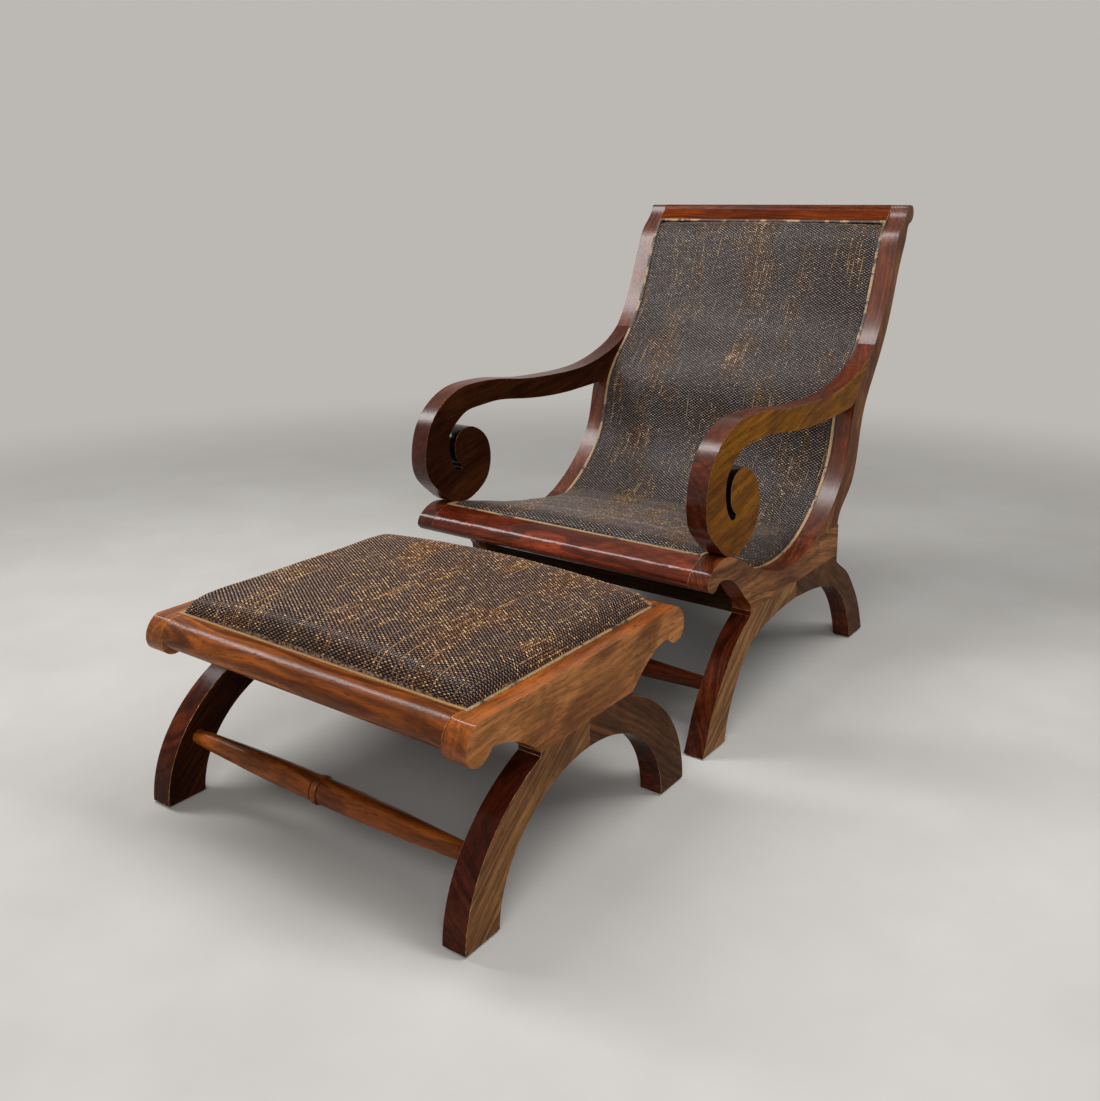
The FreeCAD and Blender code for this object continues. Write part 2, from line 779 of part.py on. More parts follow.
def peg(group, names, middle, axis):
    """Adds a dowel to its group and bores the pieces that it joins."""
    dowels.setdefault(group, []).append(pin(middle, axis))
    for name in names:
        pieces[name] = pieces[name].cut(pin_bore(middle, axis))


def peg_both_sides(group, names, middle, axis):
    """The same dowel on the left and the right; a name that starts with side_ exists on both."""
    for side, sign in (("left_", 1), ("right_", -1)):
        place = Vector(sign * middle.x, middle.y, middle.z)
        direction = Vector(sign * axis.x, axis.y, axis.z)
        peg(group, [name.replace("side_", side, 1) for name in names], place, direction)


def add_both_sides(name, shape):
    pieces["left_" + name] = shape
    pieces["right_" + name] = mirrored(shape)


# Chair: side frames first, because the arms, rails and strips take their ends from them
board = seat_board()
post = back_post()
add_both_sides("seat_board", board)
add_both_sides("back_post", post)
add_both_sides("arm", arm(post, board))
add_both_sides("front_leg", front_leg())
add_both_sides("rear_leg", rear_leg())
add_both_sides("side_bead", side_bead())
add_both_sides("slat_cleat", cleat())

# Chair: cross pieces
cleats = pieces["left_slat_cleat"].fuse(pieces["right_slat_cleat"])
pieces["front_seat_rail"] = front_seat_rail()
pieces["top_rail"] = top_rail()
slat_depth = pad_depth + slat_thickness
rail_back = front_under_rail_depth + under_rail_thickness
lean = chair_front + rail_back - below_line(parameter_at_depth(rail_back), slat_depth).y
front_rail_top = below_line(parameter_at_depth(rail_back + lean), slat_depth).z - under_rail_gap
pieces["front_under_rail"] = under_rail(front_under_rail_depth, front_rail_top).cut(cleats)
rear_under_rail_depth = board_length - rear_under_rail_inset - under_rail_thickness
rear_rail_top = leg_seam_height - under_rail_overhang + rear_under_rail_height
pieces["rear_under_rail"] = under_rail(rear_under_rail_depth, rear_rail_top)
bead_end = sitting_line.parameterAtDistance(bead_width, opening_start)
top_bead_start = sitting_line.parameterAtDistance(woven_length - bead_width, opening_start)
pieces["front_bead"] = cross_bead(opening_start, bead_end)
pieces["top_bead"] = cross_bead(top_bead_start, opening_end)
pieces["woven_seat_and_back"] = chair_pad()
for index in range(slat_count):
    pieces["support_slat_%02d" % (index + 1)] = slat(index)

chair_stretcher_middle = chair_point(chair_stretcher_depth, chair_stretcher_height)
pieces["front_stretcher"] = stretcher(2 * side_inner, chair_stretcher_middle)
for side in ("left_", "right_"):
    bore = tenon_bore(2 * side_inner, chair_stretcher_middle)
    pieces[side + "front_leg"] = pieces[side + "front_leg"].cut(bore)

# Footstool
add_both_sides("stool_side_board", stool_board())
add_both_sides("stool_front_leg", stool_front_leg())
add_both_sides("stool_rear_leg", turned_piece(stool_front_leg()))
pieces["stool_front_rail"] = stool_rail()
pieces["stool_rear_rail"] = turned_piece(stool_rail())
side_strip, end_strip = stool_bead_strips()
add_both_sides("stool_side_bead", side_strip)
pieces["stool_front_bead"] = end_strip
pieces["stool_rear_bead"] = turned_piece(end_strip)
panel = stool_rabbet().common(box(
    -stool_width, stool_width, stool_front, stool_front + stool_depth,
    0, stool_height - stool_rabbet_depth + stool_panel_thickness,
))
pieces["stool_base_panel"] = panel
pieces["stool_woven_pad"] = stool_pad()
stool_stretcher_middle = stool_point(stool_stretcher_depth, stool_stretcher_height)
pieces["stool_stretcher"] = stretcher(2 * stool_side_inner, stool_stretcher_middle)
for side in ("left_", "right_"):
    bore = tenon_bore(2 * stool_side_inner, stool_stretcher_middle)
    pieces[side + "stool_front_leg"] = pieces[side + "stool_front_leg"].cut(bore)

# Dowels in the joints of the chair
dowels = {}
along_x = Vector(1, 0, 0)
along_y = Vector(0, 1, 0)
along_z = Vector(0, 0, 1)
rail_middle = pieces["front_seat_rail"].BoundBox.Center
peg_both_sides(
    "chair_dowels", ["front_seat_rail", "side_seat_board"],
    Vector(side_inner, rail_middle.y, rail_middle.z), along_x,
)
for share in rail_dowel_shares:
    front_height = leg_seam_height + share * (front_rail_top - leg_seam_height)
    front_middle = chair_point(front_under_rail_depth + under_rail_thickness / 2, front_height)
    peg_both_sides("chair_dowels", ["front_under_rail", "side_seat_board"], front_middle + along_x * side_inner, along_x)
    rear_height = leg_seam_height + share * (rear_rail_top - leg_seam_height)
    rear_middle = chair_point(rear_under_rail_depth + under_rail_thickness / 2, rear_height)
    peg_both_sides("chair_dowels", ["rear_under_rail", "side_seat_board"], rear_middle + along_x * side_inner, along_x)
crest_middle = pieces["top_rail"].BoundBox.Center
peg_both_sides("chair_dowels", ["top_rail", "side_back_post"], Vector(side_inner, crest_middle.y, crest_middle.z), along_x)
side_middle = along_x * (chair_width / 2 - side_thickness / 2)
leg_spans = (
    ("side_front_leg", seam_front.y - chair_front, leg_joint_depth),
    ("side_rear_leg", leg_joint_depth, board_length),
)
for leg, start, end in leg_spans:
    for share in seam_dowel_shares:
        place = chair_point(start + (end - start) * share, leg_seam_height)
        peg_both_sides("chair_dowels", [leg, "side_seat_board"], place + side_middle, along_z)
for inset in post_dowel_insets:
    peg_both_sides(
        "chair_dowels", ["side_back_post", "side_seat_board"],
        chair_point(board_length - inset, post_seam_height) + side_middle, along_z,
    )
leg_joint_height = (leg_seam_height + arch_height) / 2
peg_both_sides(
    "chair_dowels", ["side_front_leg", "side_rear_leg"],
    chair_point(leg_joint_depth, leg_joint_height) + side_middle, along_y,
)
for run in arm_dowel_runs:
    parameter = sitting_line.parameterAtDistance(-run, arm_joint)
    tangent = sitting_line.tangent(parameter)[0]
    normal = Vector(0, tangent.z, -tangent.y)
    peg_both_sides("chair_dowels", ["side_arm", "side_back_post"], sitting_line.value(parameter) + side_middle, normal)

# Dowels in the joints of the footstool
stool_rail_middle = pieces["stool_front_rail"].BoundBox.Center
for end_name, place in (("front", stool_rail_middle), ("rear", turned_about_stool(stool_rail_middle))):
    peg_both_sides(
        "stool_dowels", ["stool_%s_rail" % end_name, "side_stool_side_board"],
        Vector(stool_side_inner, place.y, place.z), along_x,
    )
stool_side_middle = along_x * (stool_width / 2 - stool_side_thickness / 2)
for share in stool_seam_dowel_shares:
    depth = stool_leg_seam_inset + (stool_depth / 2 - stool_leg_seam_inset) * share
    for end_name, place in (("front", depth), ("rear", stool_depth - depth)):
        peg_both_sides(
            "stool_dowels", ["side_stool_%s_leg" % end_name, "side_stool_side_board"],
            stool_point(place, stool_leg_seam_height) + stool_side_middle, along_z,
        )
peg_both_sides(
    "stool_dowels", ["side_stool_front_leg", "side_stool_rear_leg"],
    stool_point(stool_depth / 2, (stool_leg_seam_height + stool_arch_height) / 2) + stool_side_middle, along_y,
)
for group in dowels:
    pieces[group] = Part.makeCompound(dowels[group])

# Glue blocks in the corners under the seat and under the footstool's panel
block = corner_block_size
rear_rail_front = chair_front + rear_under_rail_depth
front_rail_back = chair_front + front_under_rail_depth + under_rail_thickness
block_base = leg_seam_height - under_rail_overhang
chair_blocks = []
stool_blocks = []
for sign in (-1, 1):
    x = sign * side_inner
    chair_blocks.append(corner_block(x, front_rail_back, (-sign * block, block), block_base, front_block_height))
    chair_blocks.append(corner_block(x, rear_rail_front, (-sign * block, -block), block_base, corner_block_height))
    x = sign * stool_side_inner
    front = stool_front + stool_nose_inset + stool_rail_ledge + stool_rabbet_width
    back = 2 * stool_front + stool_depth - front
    low = stool_height - stool_rabbet_depth - stool_block_height
    stool_blocks.append(corner_block(x, front, (-sign * block, block), low, stool_block_height))
    stool_blocks.append(corner_block(x, back, (-sign * block, -block), low, stool_block_height))
pieces["chair_corner_blocks"] = Part.makeCompound(chair_blocks)
pieces["stool_corner_blocks"] = Part.makeCompound(stool_blocks)

# Thin glides under the eight feet
chair_glides = []
stool_glides = []
for front, length in ((0, front_foot_length), (rear_foot_back - rear_foot_length, rear_foot_length)):
    shape = glide(chair_front + front, length, chair_width / 2, side_thickness)
    chair_glides += [shape, mirrored(shape)]
for front in (0, stool_depth - stool_foot_length):
    shape = glide(stool_front + front, stool_foot_length, stool_width / 2, stool_side_thickness)
    stool_glides += [shape, mirrored(shape)]
pieces["chair_foot_glides"] = Part.makeCompound(chair_glides)
pieces["stool_foot_glides"] = Part.makeCompound(stool_glides)

for name, shape in pieces.items():
    print(name, shape.isValid(), len(shape.Solids), round(shape.Volume / 1000))
    shape.exportStep("parts/" + name + ".step")
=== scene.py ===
import math

import bmesh
import bpy
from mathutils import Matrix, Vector
from mathutils.bvhtree import BVHTree


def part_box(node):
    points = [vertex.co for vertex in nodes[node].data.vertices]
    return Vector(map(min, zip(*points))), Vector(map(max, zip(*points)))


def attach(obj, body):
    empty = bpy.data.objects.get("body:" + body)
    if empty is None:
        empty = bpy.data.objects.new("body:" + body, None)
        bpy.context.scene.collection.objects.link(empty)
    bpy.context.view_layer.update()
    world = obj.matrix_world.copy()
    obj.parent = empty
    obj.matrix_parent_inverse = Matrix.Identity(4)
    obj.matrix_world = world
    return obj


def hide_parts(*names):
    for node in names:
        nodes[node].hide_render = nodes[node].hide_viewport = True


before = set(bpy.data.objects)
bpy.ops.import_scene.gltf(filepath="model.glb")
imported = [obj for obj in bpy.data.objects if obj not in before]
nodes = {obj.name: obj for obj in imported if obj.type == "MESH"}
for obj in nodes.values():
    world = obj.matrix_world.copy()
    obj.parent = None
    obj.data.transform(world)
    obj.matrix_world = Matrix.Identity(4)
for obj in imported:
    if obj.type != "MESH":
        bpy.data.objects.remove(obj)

bpy.context.view_layer.update()
scene = bpy.context.scene


def add(tree, kind, inputs=(), **settings):
    """One node with its settings, its inputs linked or set."""
    made = tree.nodes.new(kind)
    for name, value in settings.items():
        setattr(made, name, value)
    for key, value in dict(inputs).items():
        if isinstance(value, bpy.types.NodeSocket):
            tree.links.new(value, made.inputs[key])
        else:
            made.inputs[key].default_value = value
    return made


def calc(tree, operation, *values, clamp=False):
    """Result of one arithmetic step."""
    return add(tree, "ShaderNodeMath", enumerate(values), operation=operation, use_clamp=clamp).outputs[0]


def vector_calc(tree, operation, *values):
    """Result of one step of vector arithmetic. The scale of a vector goes into the fourth input."""
    inputs = {3 if operation == "SCALE" and key == 1 else key: value for key, value in enumerate(values)}
    return add(tree, "ShaderNodeVectorMath", inputs, operation=operation).outputs[0]


def between(tree, value, low, high, to_low=0.0, to_high=1.0):
    """Value carried smoothly from one range to another."""
    inputs = {0: value, 1: low, 2: high, 3: to_low, 4: to_high}
    return add(tree, "ShaderNodeMapRange", inputs, interpolation_type="SMOOTHSTEP").outputs[0]


def noise(tree, place, scale, detail=2.0, roughness=0.5):
    """Soft irregular pattern, 0 to 1."""
    inputs = {"Vector": place, "Scale": scale, "Detail": detail, "Roughness": roughness}
    return add(tree, "ShaderNodeTexNoise", inputs).outputs[0]


def mixed(tree, share, first, second, blend="MIX"):
    """Two colours mixed by a share."""
    inputs = {0: share, 6: first, 7: second}
    return add(tree, "ShaderNodeMix", inputs, data_type="RGBA", blend_type=blend).outputs[2]


def stretched(tree, place, x, y, z):
    """Place with each axis scaled on its own."""
    return vector_calc(tree, "MULTIPLY", place, (x, y, z))


def tint(code):
    """Linear colour of a stain mixed by its six-figure code."""
    shares = [int(code[i:i + 2], 16) / 255 for i in (0, 2, 4)]
    return tuple(s / 12.92 if s <= 0.04045 else ((s + 0.055) / 1.055) ** 2.4 for s in shares) + (1.0,)


def group(name, kind, inputs, outputs):
    """Empty node group with named inputs and outputs."""
    tree = bpy.data.node_groups.new(name, kind)
    for label, (socket, value) in inputs.items():
        made = tree.interface.new_socket(name=label, in_out="INPUT", socket_type=socket)
        if value is not None:
            made.default_value = value
    for label, socket in outputs.items():
        tree.interface.new_socket(name=label, in_out="OUTPUT", socket_type=socket)
    return tree, tree.nodes.new("NodeGroupInput"), tree.nodes.new("NodeGroupOutput")


def give(tree, out, results):
    """Links each named result to the group's output of that name."""
    for label, value in results.items():
        tree.links.new(value, out.inputs[label])


def new_material(name):
    """Empty material with its node tree and its Principled shader."""
    material = bpy.data.materials.new(name)
    material.use_nodes = True
    return material, material.node_tree, material.node_tree.nodes["Principled BSDF"]


def roughened(tree, shader, height, strength, distance):
    """Gives a shader the fine relief of a height pattern."""
    bump = add(tree, "ShaderNodeBump", {"Height": height, "Strength": strength, "Distance": distance})
    tree.links.new(bump.outputs[0], shader.inputs["Normal"])


def grey(tree, value):
    """The same value as a grey colour."""
    return add(tree, "ShaderNodeCombineColor", {0: value, 1: value, 2: value}).outputs[0]


def distance_between(tree, place, other=(0, 0, 0)):
    """Distance from one place to another, or to the origin."""
    return add(tree, "ShaderNodeVectorMath", {0: place, 1: other}, operation="DISTANCE").outputs["Value"]


COLOUR, NUMBER, VECTOR = "NodeSocketColor", "NodeSocketFloat", "NodeSocketVector"
WHOLE, MESH, MATERIAL = "NodeSocketInt", "NodeSocketGeometry", "NodeSocketMaterial"
GREY = (0.5, 0.5, 0.5, 1.0)


def make_hardwood_grain():
    """Figured tropical hardwood: growth bands, broad dark figure and fine pores. Y runs along the grain."""
    tree, given, out = group(
        "hardwood_grain", "ShaderNodeTree",
        {"Place": (VECTOR, None), "Pale": (COLOUR, GREY), "Middle": (COLOUR, GREY), "Dark": (COLOUR, GREY),
         "Bands": (NUMBER, 70.0), "Figure": (NUMBER, 0.5)},
        {"Colour": COLOUR, "Roughness": NUMBER, "Height": NUMBER},
    )
    place = given.outputs["Place"]
    slow = add(tree, "ShaderNodeTexNoise",
               {"Vector": stretched(tree, place, 6, 2.2, 6), "Scale": 1.0, "Detail": 2.0})
    centred = vector_calc(tree, "SUBTRACT", slow.outputs["Color"], (0.5, 0.5, 0.5))
    swayed = vector_calc(tree, "ADD", place, vector_calc(tree, "SCALE", centred, 0.09))
    parts = add(tree, "ShaderNodeSeparateXYZ", {0: swayed})
    depth = calc(tree, "MULTIPLY", parts.outputs[0], 0.7)
    squares = calc(tree, "ADD", calc(tree, "POWER", parts.outputs[2], 2.0), calc(tree, "POWER", depth, 2.0))
    radius = calc(tree, "SQRT", squares)
    ring = {"W": calc(tree, "MULTIPLY", radius, given.outputs["Bands"]), "Scale": 1.0, "Detail": 3.0,
            "Roughness": 0.65}
    bands = add(tree, "ShaderNodeTexNoise", ring, noise_dimensions="1D").outputs[0]
    broad = noise(tree, stretched(tree, swayed, 9, 3.0, 13), 1.0, 3.0, 0.55)
    streaks = noise(tree, stretched(tree, swayed, 70, 12, 150), 1.0, 4.0, 0.65)
    pores = noise(tree, stretched(tree, place, 480, 55, 560), 1.0, 1.0)
    smudges = noise(tree, swayed, 8.0, 4.0, 0.65)
    light = between(tree, broad, 0.38, 0.66)
    base = mixed(tree, light, given.outputs["Middle"], given.outputs["Pale"])
    dark_bands = between(tree, bands, 0.66, 0.36)
    dark_share = calc(tree, "MULTIPLY", dark_bands, given.outputs["Figure"])
    colour = mixed(tree, dark_share, base, given.outputs["Dark"])
    fine = between(tree, streaks, 0.30, 0.72, 0.62, 1.36)
    colour = mixed(tree, 1.0, colour, grey(tree, fine), "MULTIPLY")
    colour = mixed(tree, between(tree, smudges, 0.50, 0.72, 0.0, 0.6), colour, given.outputs["Dark"])
    pore_share = between(tree, pores, 0.42, 0.26, 0.0, 0.75)
    colour = mixed(tree, pore_share, colour, given.outputs["Dark"])
    even_sheen = between(tree, broad, 0.3, 0.7, 0.30, 0.38)
    roughness = calc(tree, "ADD", even_sheen, calc(tree, "MULTIPLY", pore_share, 0.2))
    height = calc(tree, "SUBTRACT", calc(tree, "MULTIPLY", streaks, 0.25), pore_share)
    give(tree, out, {"Colour": colour, "Roughness": roughness, "Height": height})
    return tree


def make_handling_marks():
    """Small dents, smears and rubbed spots of long use, over a polished surface."""
    tree, given, out = group(
        "handling_marks", "ShaderNodeTree", {"Place": (VECTOR, None), "Amount": (NUMBER, 0.5)},
        {"Smear": NUMBER, "Dent": NUMBER},
    )
    place = given.outputs["Place"]
    smear = between(tree, noise(tree, place, 14.0, 4.0, 0.7), 0.45, 0.75)
    dents = add(tree, "ShaderNodeTexVoronoi", {"Vector": place, "Scale": 42.0}, feature="F1").outputs[0]
    dent = between(tree, dents, 0.16, 0.05)
    give(tree, out, {"Smear": calc(tree, "MULTIPLY", smear, given.outputs["Amount"]),
                     "Dent": calc(tree, "MULTIPLY", dent, given.outputs["Amount"])})
    return tree


def make_board_sides():
    """Which faces look sideways, and which of them look in towards the middle of the object."""
    tree, given, out = group(
        "board_sides", "ShaderNodeTree", {"Place": (VECTOR, None), "Normal": (VECTOR, None)},
        {"Side": NUMBER, "Inward": NUMBER},
    )
    normal = add(tree, "ShaderNodeSeparateXYZ", {0: given.outputs["Normal"]}).outputs[0]
    position = add(tree, "ShaderNodeSeparateXYZ", {0: given.outputs["Place"]}).outputs[0]
    outward = calc(tree, "MULTIPLY", normal, position)
    give(tree, out, {"Side": between(tree, calc(tree, "ABSOLUTE", normal), 0.75, 0.95),
                     "Inward": between(tree, outward, -0.05, -0.2)})
    return tree


hardwood_grain = make_hardwood_grain()
handling_marks = make_handling_marks()
board_sides = make_board_sides()

BOARD_STAIN = {"Pale": tint("92623c"), "Middle": tint("72462c"), "Dark": tint("3e2314")}
LEG_STAIN = {"Pale": tint("946a40"), "Middle": tint("785232"), "Dark": tint("462b1b")}
# The rear legs take a darker copy of the leg stain: painted shade.
REAR_LEG_STAIN_AND_PAINTED_SHADE = {"Pale": tint("6e4626"), "Middle": tint("4e2e18"), "Dark": tint("2c180d")}
STOOL_BOARD_STAIN = {"Pale": tint("a87040"), "Middle": tint("8a5630"), "Dark": tint("4e2d1a")}
ARM_STAIN = {"Pale": tint("80500a"), "Middle": tint("603407"), "Dark": tint("361a05")}
EDGE_STAIN = {"Pale": tint("5e2811"), "Middle": tint("43190b"), "Dark": tint("1d0a05")}
# Darker colour for the faces that look in towards the middle: painted shade.
INWARD_PAINTED_SHADE = {"Pale": tint("42200e"), "Middle": tint("2c1308"), "Dark": tint("150804")}
POST_STAIN = {"Pale": tint("743515"), "Middle": tint("56240e"), "Dark": tint("280e06")}
FRONT_STAIN = {"Pale": tint("863616"), "Middle": tint("60230e"), "Dark": tint("2a0d05")}
TOP_STAIN = {"Pale": tint("72300a"), "Middle": tint("582108"), "Dark": tint("341204")}
STOOL_STAIN = {"Pale": tint("a0561a"), "Middle": tint("7a3d11"), "Dark": tint("3c1a08")}
# Pale colour of the rounded arrises: partly wear, partly painted highlight.
WEAR_AND_PAINTED_HIGHLIGHT = {"Pale": tint("cf9f68"), "Middle": tint("a0663a"), "Dark": tint("562a14")}
INNER_STAIN = {"Pale": tint("3a2418"), "Middle": tint("2a1810"), "Dark": tint("140b07")}
# Near-black painted shade for the edges inside the hollow of each arm's scroll.
HOLLOW_PAINTED_SHADE = tint("0a0503")

# Middle and size of the hollow between each arm and its scroll, in metres as all lengths here.
# The edges inside that hollow are painted dark there: painted shade.
ARM_HOLLOW = {"depth": -0.075, "height": 0.46, "radius": 0.048}


def polished_wood(name, turn, shift, face, edge, figure=0.6, bands=130.0, gloss=0.5, sheen=0.14, inward=None,
                  hollow=None):
    """Stained and lacquered hardwood with a redder stain on its edges.

    The grain is turned and shifted, a darker colour may be given as painted shade for the faces that look
    inward, and painted shade may be put in a hollow given by its depth, height and radius.
    """
    material, tree, shader = new_material(name)
    coordinates = add(tree, "ShaderNodeTexCoord").outputs
    place = add(tree, "ShaderNodeMapping", {"Vector": coordinates["Object"], "Location": shift,
                                            "Rotation": turn}).outputs[0]
    grain = {}
    for part, stain in (("face", face), ("edge", edge), ("inward", inward)):
        if stain:
            inputs = {"Place": place, "Bands": bands, "Figure": figure, **stain}
            grain[part] = add(tree, "ShaderNodeGroup", inputs, node_tree=hardwood_grain).outputs
    sides = add(tree, "ShaderNodeGroup", {"Place": coordinates["Object"], "Normal": coordinates["Normal"]},
                node_tree=board_sides).outputs
    not_side = calc(tree, "SUBTRACT", 1.0, sides["Side"])
    colour = mixed(tree, sides["Side"], grain["edge"]["Colour"], grain["face"]["Colour"])
    # Painted shade: edge faces within the hollow's radius are darkened to near black.
    if hollow:
        flat = stretched(tree, coordinates["Object"], 0, 1, 1)
        reach = distance_between(tree, flat, (0, hollow["depth"], hollow["height"]))
        near = between(tree, reach, hollow["radius"] * 1.25, hollow["radius"])
        colour = mixed(tree, calc(tree, "MULTIPLY", near, not_side), colour, HOLLOW_PAINTED_SHADE)
    # Painted shade: faces that look in towards the middle take the darker inward colour.
    if inward:
        colour = mixed(tree, sides["Inward"], colour, grain["inward"]["Colour"])
    marks = add(tree, "ShaderNodeGroup", {"Place": coordinates["Object"], "Amount": 0.6},
                node_tree=handling_marks).outputs
    smear = calc(tree, "MULTIPLY", marks["Smear"], 0.16)
    tree.links.new(colour, shader.inputs["Base Color"])
    tree.links.new(calc(tree, "ADD", grain["face"]["Roughness"], smear), shader.inputs["Roughness"])
    tree.links.new(calc(tree, "MULTIPLY", not_side, gloss), shader.inputs["Coat Weight"])
    roughened(tree, shader, calc(tree, "SUBTRACT", grain["face"]["Height"], marks["Dent"]), 0.35, 0.0006)
    shader.inputs["Coat Roughness"].default_value = sheen
    shader.inputs["Specular IOR Level"].default_value = 0.03
    return material


ALONG_X = (0, 0, math.radians(90))


def tilted(degrees):
    """Turn that lays Y along a board rising to the rear by that angle."""
    return (math.radians(-degrees), 0, 0)


woods = {
    "seat_board": polished_wood("polished_seat_board", tilted(-6), (0.05, 0.3, -0.16), BOARD_STAIN,
                                POST_STAIN),
    "post": polished_wood("polished_post", tilted(68), (0.02, 0.1, 0.33), BOARD_STAIN, POST_STAIN,
                          gloss=0.85, sheen=0.26),
    "arm": polished_wood("polished_arm", tilted(14), (0.04, 0.55, -0.36), ARM_STAIN, EDGE_STAIN, figure=0.35,
                         gloss=0.6, sheen=0.2, inward=INWARD_PAINTED_SHADE, hollow=ARM_HOLLOW),
    "front_leg": polished_wood("polished_front_leg", tilted(38), (0.03, 0.8, 0.02), LEG_STAIN, EDGE_STAIN,
                               gloss=0.15, inward=INWARD_PAINTED_SHADE),
    "rear_leg": polished_wood("polished_rear_leg", tilted(-34), (0.02, 0.2, -0.38), REAR_LEG_STAIN_AND_PAINTED_SHADE,
                              EDGE_STAIN, gloss=0.25, inward=INWARD_PAINTED_SHADE),
    "stool_board": polished_wood("polished_stool_board", tilted(4), (0.03, 0.9, -0.33), STOOL_BOARD_STAIN,
                                 STOOL_STAIN, figure=0.35),
    "front_rail": polished_wood("polished_front_rail", ALONG_X, (0.2, 0.4, 0.1), FRONT_STAIN, FRONT_STAIN,
                                figure=0.7, bands=150.0),
    "top_rail": polished_wood("polished_top_rail", ALONG_X, (0.6, 0.1, -0.7), TOP_STAIN, TOP_STAIN,
                              bands=150.0, gloss=0.06),
    "stool_rail": polished_wood("polished_stool_rail", ALONG_X, (0.1, 0.6, -0.2), STOOL_STAIN, STOOL_STAIN,
                                figure=0.7, bands=150.0, gloss=0.35, sheen=0.22),
    "turned": polished_wood("polished_turned_wood", ALONG_X, (0.3, 0.1, 0.06), STOOL_STAIN, STOOL_STAIN,
                            bands=120.0, gloss=0.3, sheen=0.2),
    "dark_turned": polished_wood("dark_turned_wood", ALONG_X, (0.5, 0.1, 0.02), EDGE_STAIN, EDGE_STAIN,
                                 gloss=0.2),
    "wear_and_highlight": polished_wood("arris_wear_and_painted_highlight", ALONG_X, (0.1, 0.2, 0.3), WEAR_AND_PAINTED_HIGHLIGHT, WEAR_AND_PAINTED_HIGHLIGHT,
                          figure=0.8, bands=300.0, gloss=0.35),
    "inner": polished_wood("dark_inner_wood", ALONG_X, (0.2, 0.1, 0.2), INNER_STAIN, INNER_STAIN,
                           bands=90.0, gloss=0.0),
}


def make_split_rattan():
    """Pale tan skin with long fibres, dark nicks and stained patches."""
    tree, given, out = group(
        "split_rattan", "ShaderNodeTree",
        {"Place": (VECTOR, None), "Skin": (COLOUR, GREY), "Core": (COLOUR, GREY),
         "Stained From": (NUMBER, 0.5)},
        {"Colour": COLOUR, "Height": NUMBER},
    )
    place, stained_from = given.outputs["Place"], given.outputs["Stained From"]
    fibres = noise(tree, place, 420.0, 3.0, 0.7)
    patches = noise(tree, place, 22.0, 4.0, 0.7)
    colour = mixed(tree, between(tree, fibres, 0.3, 0.7), given.outputs["Core"], given.outputs["Skin"])
    stained = between(tree, patches, stained_from, calc(tree, "ADD", stained_from, 0.08), 0.0, 0.93)
    give(tree, out, {"Colour": mixed(tree, stained, colour, tint("24150c")), "Height": fibres})
    return tree


split_rattan = make_split_rattan()

# Height above which the beading is darker, and the height over which it turns so.
DARKER_ABOVE, DARKER_WITHIN = 0.55, 0.1


def make_rattan_strip(name, skin, core, stained_from, stained_above):
    """Split rattan of the beading, stained from one limit low down and from another high up."""
    material, tree, shader = new_material(name)
    place = add(tree, "ShaderNodeTexCoord").outputs["Object"]
    height = add(tree, "ShaderNodeSeparateXYZ", {0: place}).outputs[2]
    limit = between(tree, height, DARKER_ABOVE, DARKER_ABOVE + DARKER_WITHIN, stained_from, stained_above)
    strip = add(tree, "ShaderNodeGroup", {"Place": place, "Skin": skin, "Core": core, "Stained From": limit},
                node_tree=split_rattan).outputs
    tree.links.new(strip["Colour"], shader.inputs["Base Color"])
    roughened(tree, shader, strip["Height"], 0.6, 0.0006)
    shader.inputs["Roughness"].default_value = 0.5
    return material


def make_glide_plastic():
    """Hard black plastic of the glides, scuffed grey under the foot."""
    material, tree, shader = new_material("glide_plastic")
    place = add(tree, "ShaderNodeTexCoord").outputs["Object"]
    scuffs = between(tree, noise(tree, place, 180.0, 4.0, 0.7), 0.45, 0.7)
    tree.links.new(mixed(tree, scuffs, tint("17130f"), tint("4a443c")), shader.inputs["Base Color"])
    tree.links.new(calc(tree, "ADD", calc(tree, "MULTIPLY", scuffs, 0.3), 0.4), shader.inputs["Roughness"])
    return material


tan_strip = make_rattan_strip("rattan_strip", tint("b08650"), tint("7a5228"), 0.66, 0.66)
stained_strip = make_rattan_strip("stained_rattan_strip", tint("b49670"), tint("7a5a38"), 0.55, 0.42)
glide_plastic = make_glide_plastic()

# Points this close are one, faces within the first angle are one plane, and arrises start at the second.
WELD_WITHIN = 0.00002
FLAT_WITHIN, SHARP_FROM = 1.0, 34.0
ARRIS_WIDTH, INNER_ARRIS_WIDTH, CLEAT_ARRIS_WIDTH = 0.003, 0.0015, 0.001
TURNED_ARRIS_WIDTH, DOWEL_ARRIS_WIDTH = 0.0008, 0.0005
BEAD_ARRIS_WIDTH, GLIDE_ARRIS_WIDTH = 0.0012, 0.0006
PLAIN_ARRISES = ("inner", "turned", "dark_turned")


def soften(piece, width, segments=3):
    """Rounds the arrises of a wooden piece: its facets merged first, then a bevel in the second material."""
    piece.modifiers.new("merged", "WELD").merge_threshold = WELD_WITHIN
    planar = piece.modifiers.new("planed", "DECIMATE")
    planar.decimate_type = "DISSOLVE"
    planar.angle_limit = math.radians(FLAT_WITHIN)
    arris = piece.modifiers.new("arris", "BEVEL")
    arris.width = width
    arris.segments = segments
    arris.limit_method = "ANGLE"
    arris.angle_limit = math.radians(SHARP_FROM)
    arris.material = 1
    arris.use_clamp_overlap = True
    arris.miter_outer = "MITER_ARC"
    shading = piece.modifiers.new("shading", "WEIGHTED_NORMAL")
    shading.weight = 80
    shading.keep_sharp = False


